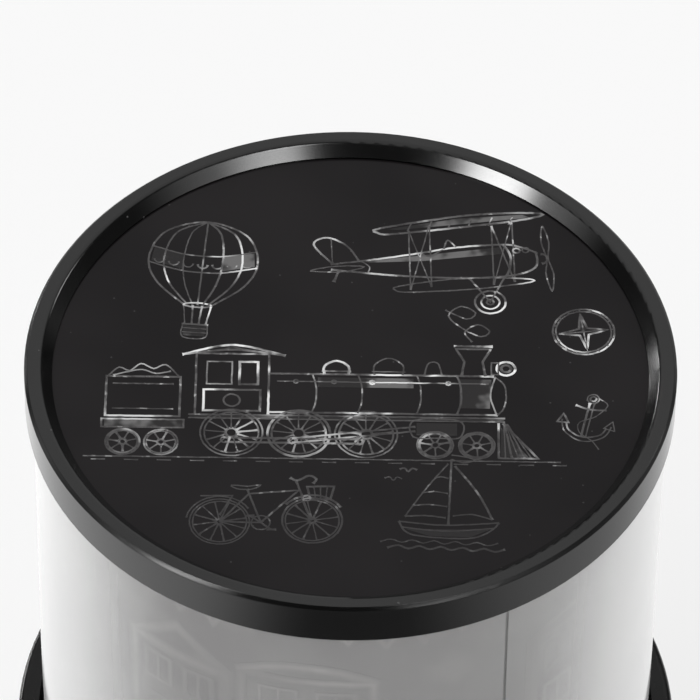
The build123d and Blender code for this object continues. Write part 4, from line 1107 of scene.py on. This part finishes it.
studio = {
    "floorTone": 0.9,
    "floorRadius": 4.0,
    "floorDrop": 0.0001,
    "floorShare": 0.85,                     # how much of its tone, with the painted shade at the right of the front, the floor shows over its real shadow
    "paperWithShade": (0.972, 0.855),                # what the camera sees at the back and, in painted shade, at the right of the front
    "paperPlaces": ((-0.04, 0.1), (0.2, -0.02)),
    "mirroredFloor": (1.3, 0.74, 0.96),     # what a glossy surface sees at the left, at the right and behind that
    "mirroredPlaces": ((-0.15, -0.02), (-0.02, 0.1)),
    "mirroredFront": 0.16,                  # and in front of the light, where the room is dark
    "frontPlaces": ((-0.02, -0.12), (0.15, 0.035), 0.012),      # towards the front, aside of the middle there
    "mirroredFar": (0.4, (0.22, 0.32)),     # and further out than the floor under the light
    "room": (0.0, 0.7, 0.5, 1.0),           # what lights the surfaces, low and high
    "ceiling": (0.6, 1.1, 0.06, 0.87),
    "roomLean": 0.6,                        # high is up and towards the back
    "lean": 0.36,                           # the soft boxes stand higher towards the front
    "softBoxes": {
        # degrees from the front (left is minus): dark up to, full from, fading from, gone at;
        # height and its share of the way back: dark up to, full from, fading from, gone at; radiance
        "left": ((-35, -47, -57, -68), (0.312, 0.352, 0.6, 0.7), 29.0),
        "leftFade": ((-48, -60, -64, -96), (0.29, 0.352, 0.6, 0.7), 2.6),
        "leftLow": ((-58, -80, -106, -124), (0.1, 0.2, 0.25, 0.31), 1.0),
        "right": ((14, 23, 26, 50), (0.314, 0.352, 0.6, 0.7), 13.0),
        "rightFade": ((24, 40, 44, 80), (0.3, 0.352, 0.6, 0.7), 2.0),
        "rightLow": ((30, 60, 112, 130), (0.1, 0.2, 0.27, 0.32), 0.45),
        "lipLine": ((105, 111, 116, 123), (0.4, 0.46, 0.56, 0.64), 5.5),
        "back": ((-126, -138, -142, -150), (0.14, 0.245, 0.27, 0.33), 42.0),
    },
}


def makeFloor(look):
    bm = bmesh.new()
    bmesh.ops.create_circle(bm, cap_ends=True, segments=96, radius=look["floorRadius"])
    bmesh.ops.translate(bm, vec=(0, 0, -look["floorDrop"]), verts=bm.verts)
    mesh = fillMesh("floor", bm)
    obj = bpy.data.objects.new("floor", mesh)
    scene.collection.objects.link(obj)
    t = Finish("palePaper", {"Roughness": 0.8, "Specular IOR Level": 0.1, "Base Color": colour(look["floorTone"])})
    point = t.point()
    x, y, _ = t.split(point)
    # the floor's tone for the camera is painted: pale at the back, darker in painted shade at the right of the front
    paperWithShade = t.blend(t.windows(*zip((x, y), look["paperPlaces"])), *look["paperWithShade"])
    left, right, behind = look["mirroredFloor"]
    across, back = look["mirroredPlaces"]
    mirrored = t.remap(x, *across, left, t.remap(y, *back, right, behind))
    front, aside, middle = look["frontPlaces"]
    aside = (t.calc("ABSOLUTE", t.calc("SUBTRACT", x, middle)), aside)
    mirrored = t.blend(t.windows((y, front), aside), mirrored, look["mirroredFront"])
    far, span = look["mirroredFar"]
    mirrored = t.blend(t.remap(t.vector("LENGTH", point)["Value"], *span), mirrored, far)
    path = t.add("LightPath")
    seen = t.calc("MAXIMUM", path["Is Camera Ray"], path["Is Transmission Ray"], True)
    share = t.calc("MAXIMUM", t.times(seen, look["floorShare"]), path["Is Glossy Ray"])
    light = t.add("Emission", {"Color": t.blend(path["Is Glossy Ray"], paperWithShade, mirrored), "Strength": 1.0})[0]
    mixed = t.add("MixShader", {0: share, 1: t.shader.outputs[0], 2: light})
    t.feed(mixed[0], t.tree.nodes["Material Output"].inputs["Surface"])
    mesh.materials.append(t.made)


def makeWorld(look):
    world = bpy.data.worlds.new("lightTent")
    scene.world = world
    world.use_nodes = True
    world.node_tree.nodes.clear()
    t = Nodes(world.node_tree)
    x, y, z = t.split(t.add("TexCoord")["Generated"])
    lean = t.calc("ADD", z, t.times(y, look["roomLean"]))
    lit, mirrored = t.remap(lean, *look["room"]), t.remap(lean, *look["ceiling"])
    turn = t.calc("DEGREES", t.calc("ARCTAN2", x, t.times(y, -1.0)))
    lift = t.calc("ADD", z, t.times(y, look["lean"]))
    for across, upward, radiance in look["softBoxes"].values():
        for measure, (dark, full, fading, gone) in ((turn, across), (lift, upward)):
            radiance = t.times(t.windows((measure, (dark, full)), (measure, (gone, fading))), radiance)
        mirrored = t.calc("ADD", mirrored, radiance)
    path = t.add("LightPath")
    level = t.blend(path["Is Camera Ray"], t.blend(path["Is Glossy Ray"], lit, mirrored), 1.0)
    back = t.add("Background", {"Color": level, "Strength": 1.0})
    out = world.node_tree.nodes.new("ShaderNodeOutputWorld")
    t.feed(back[0], out.inputs["Surface"])


makeFloor(studio)
makeWorld(studio)
print("studio built")
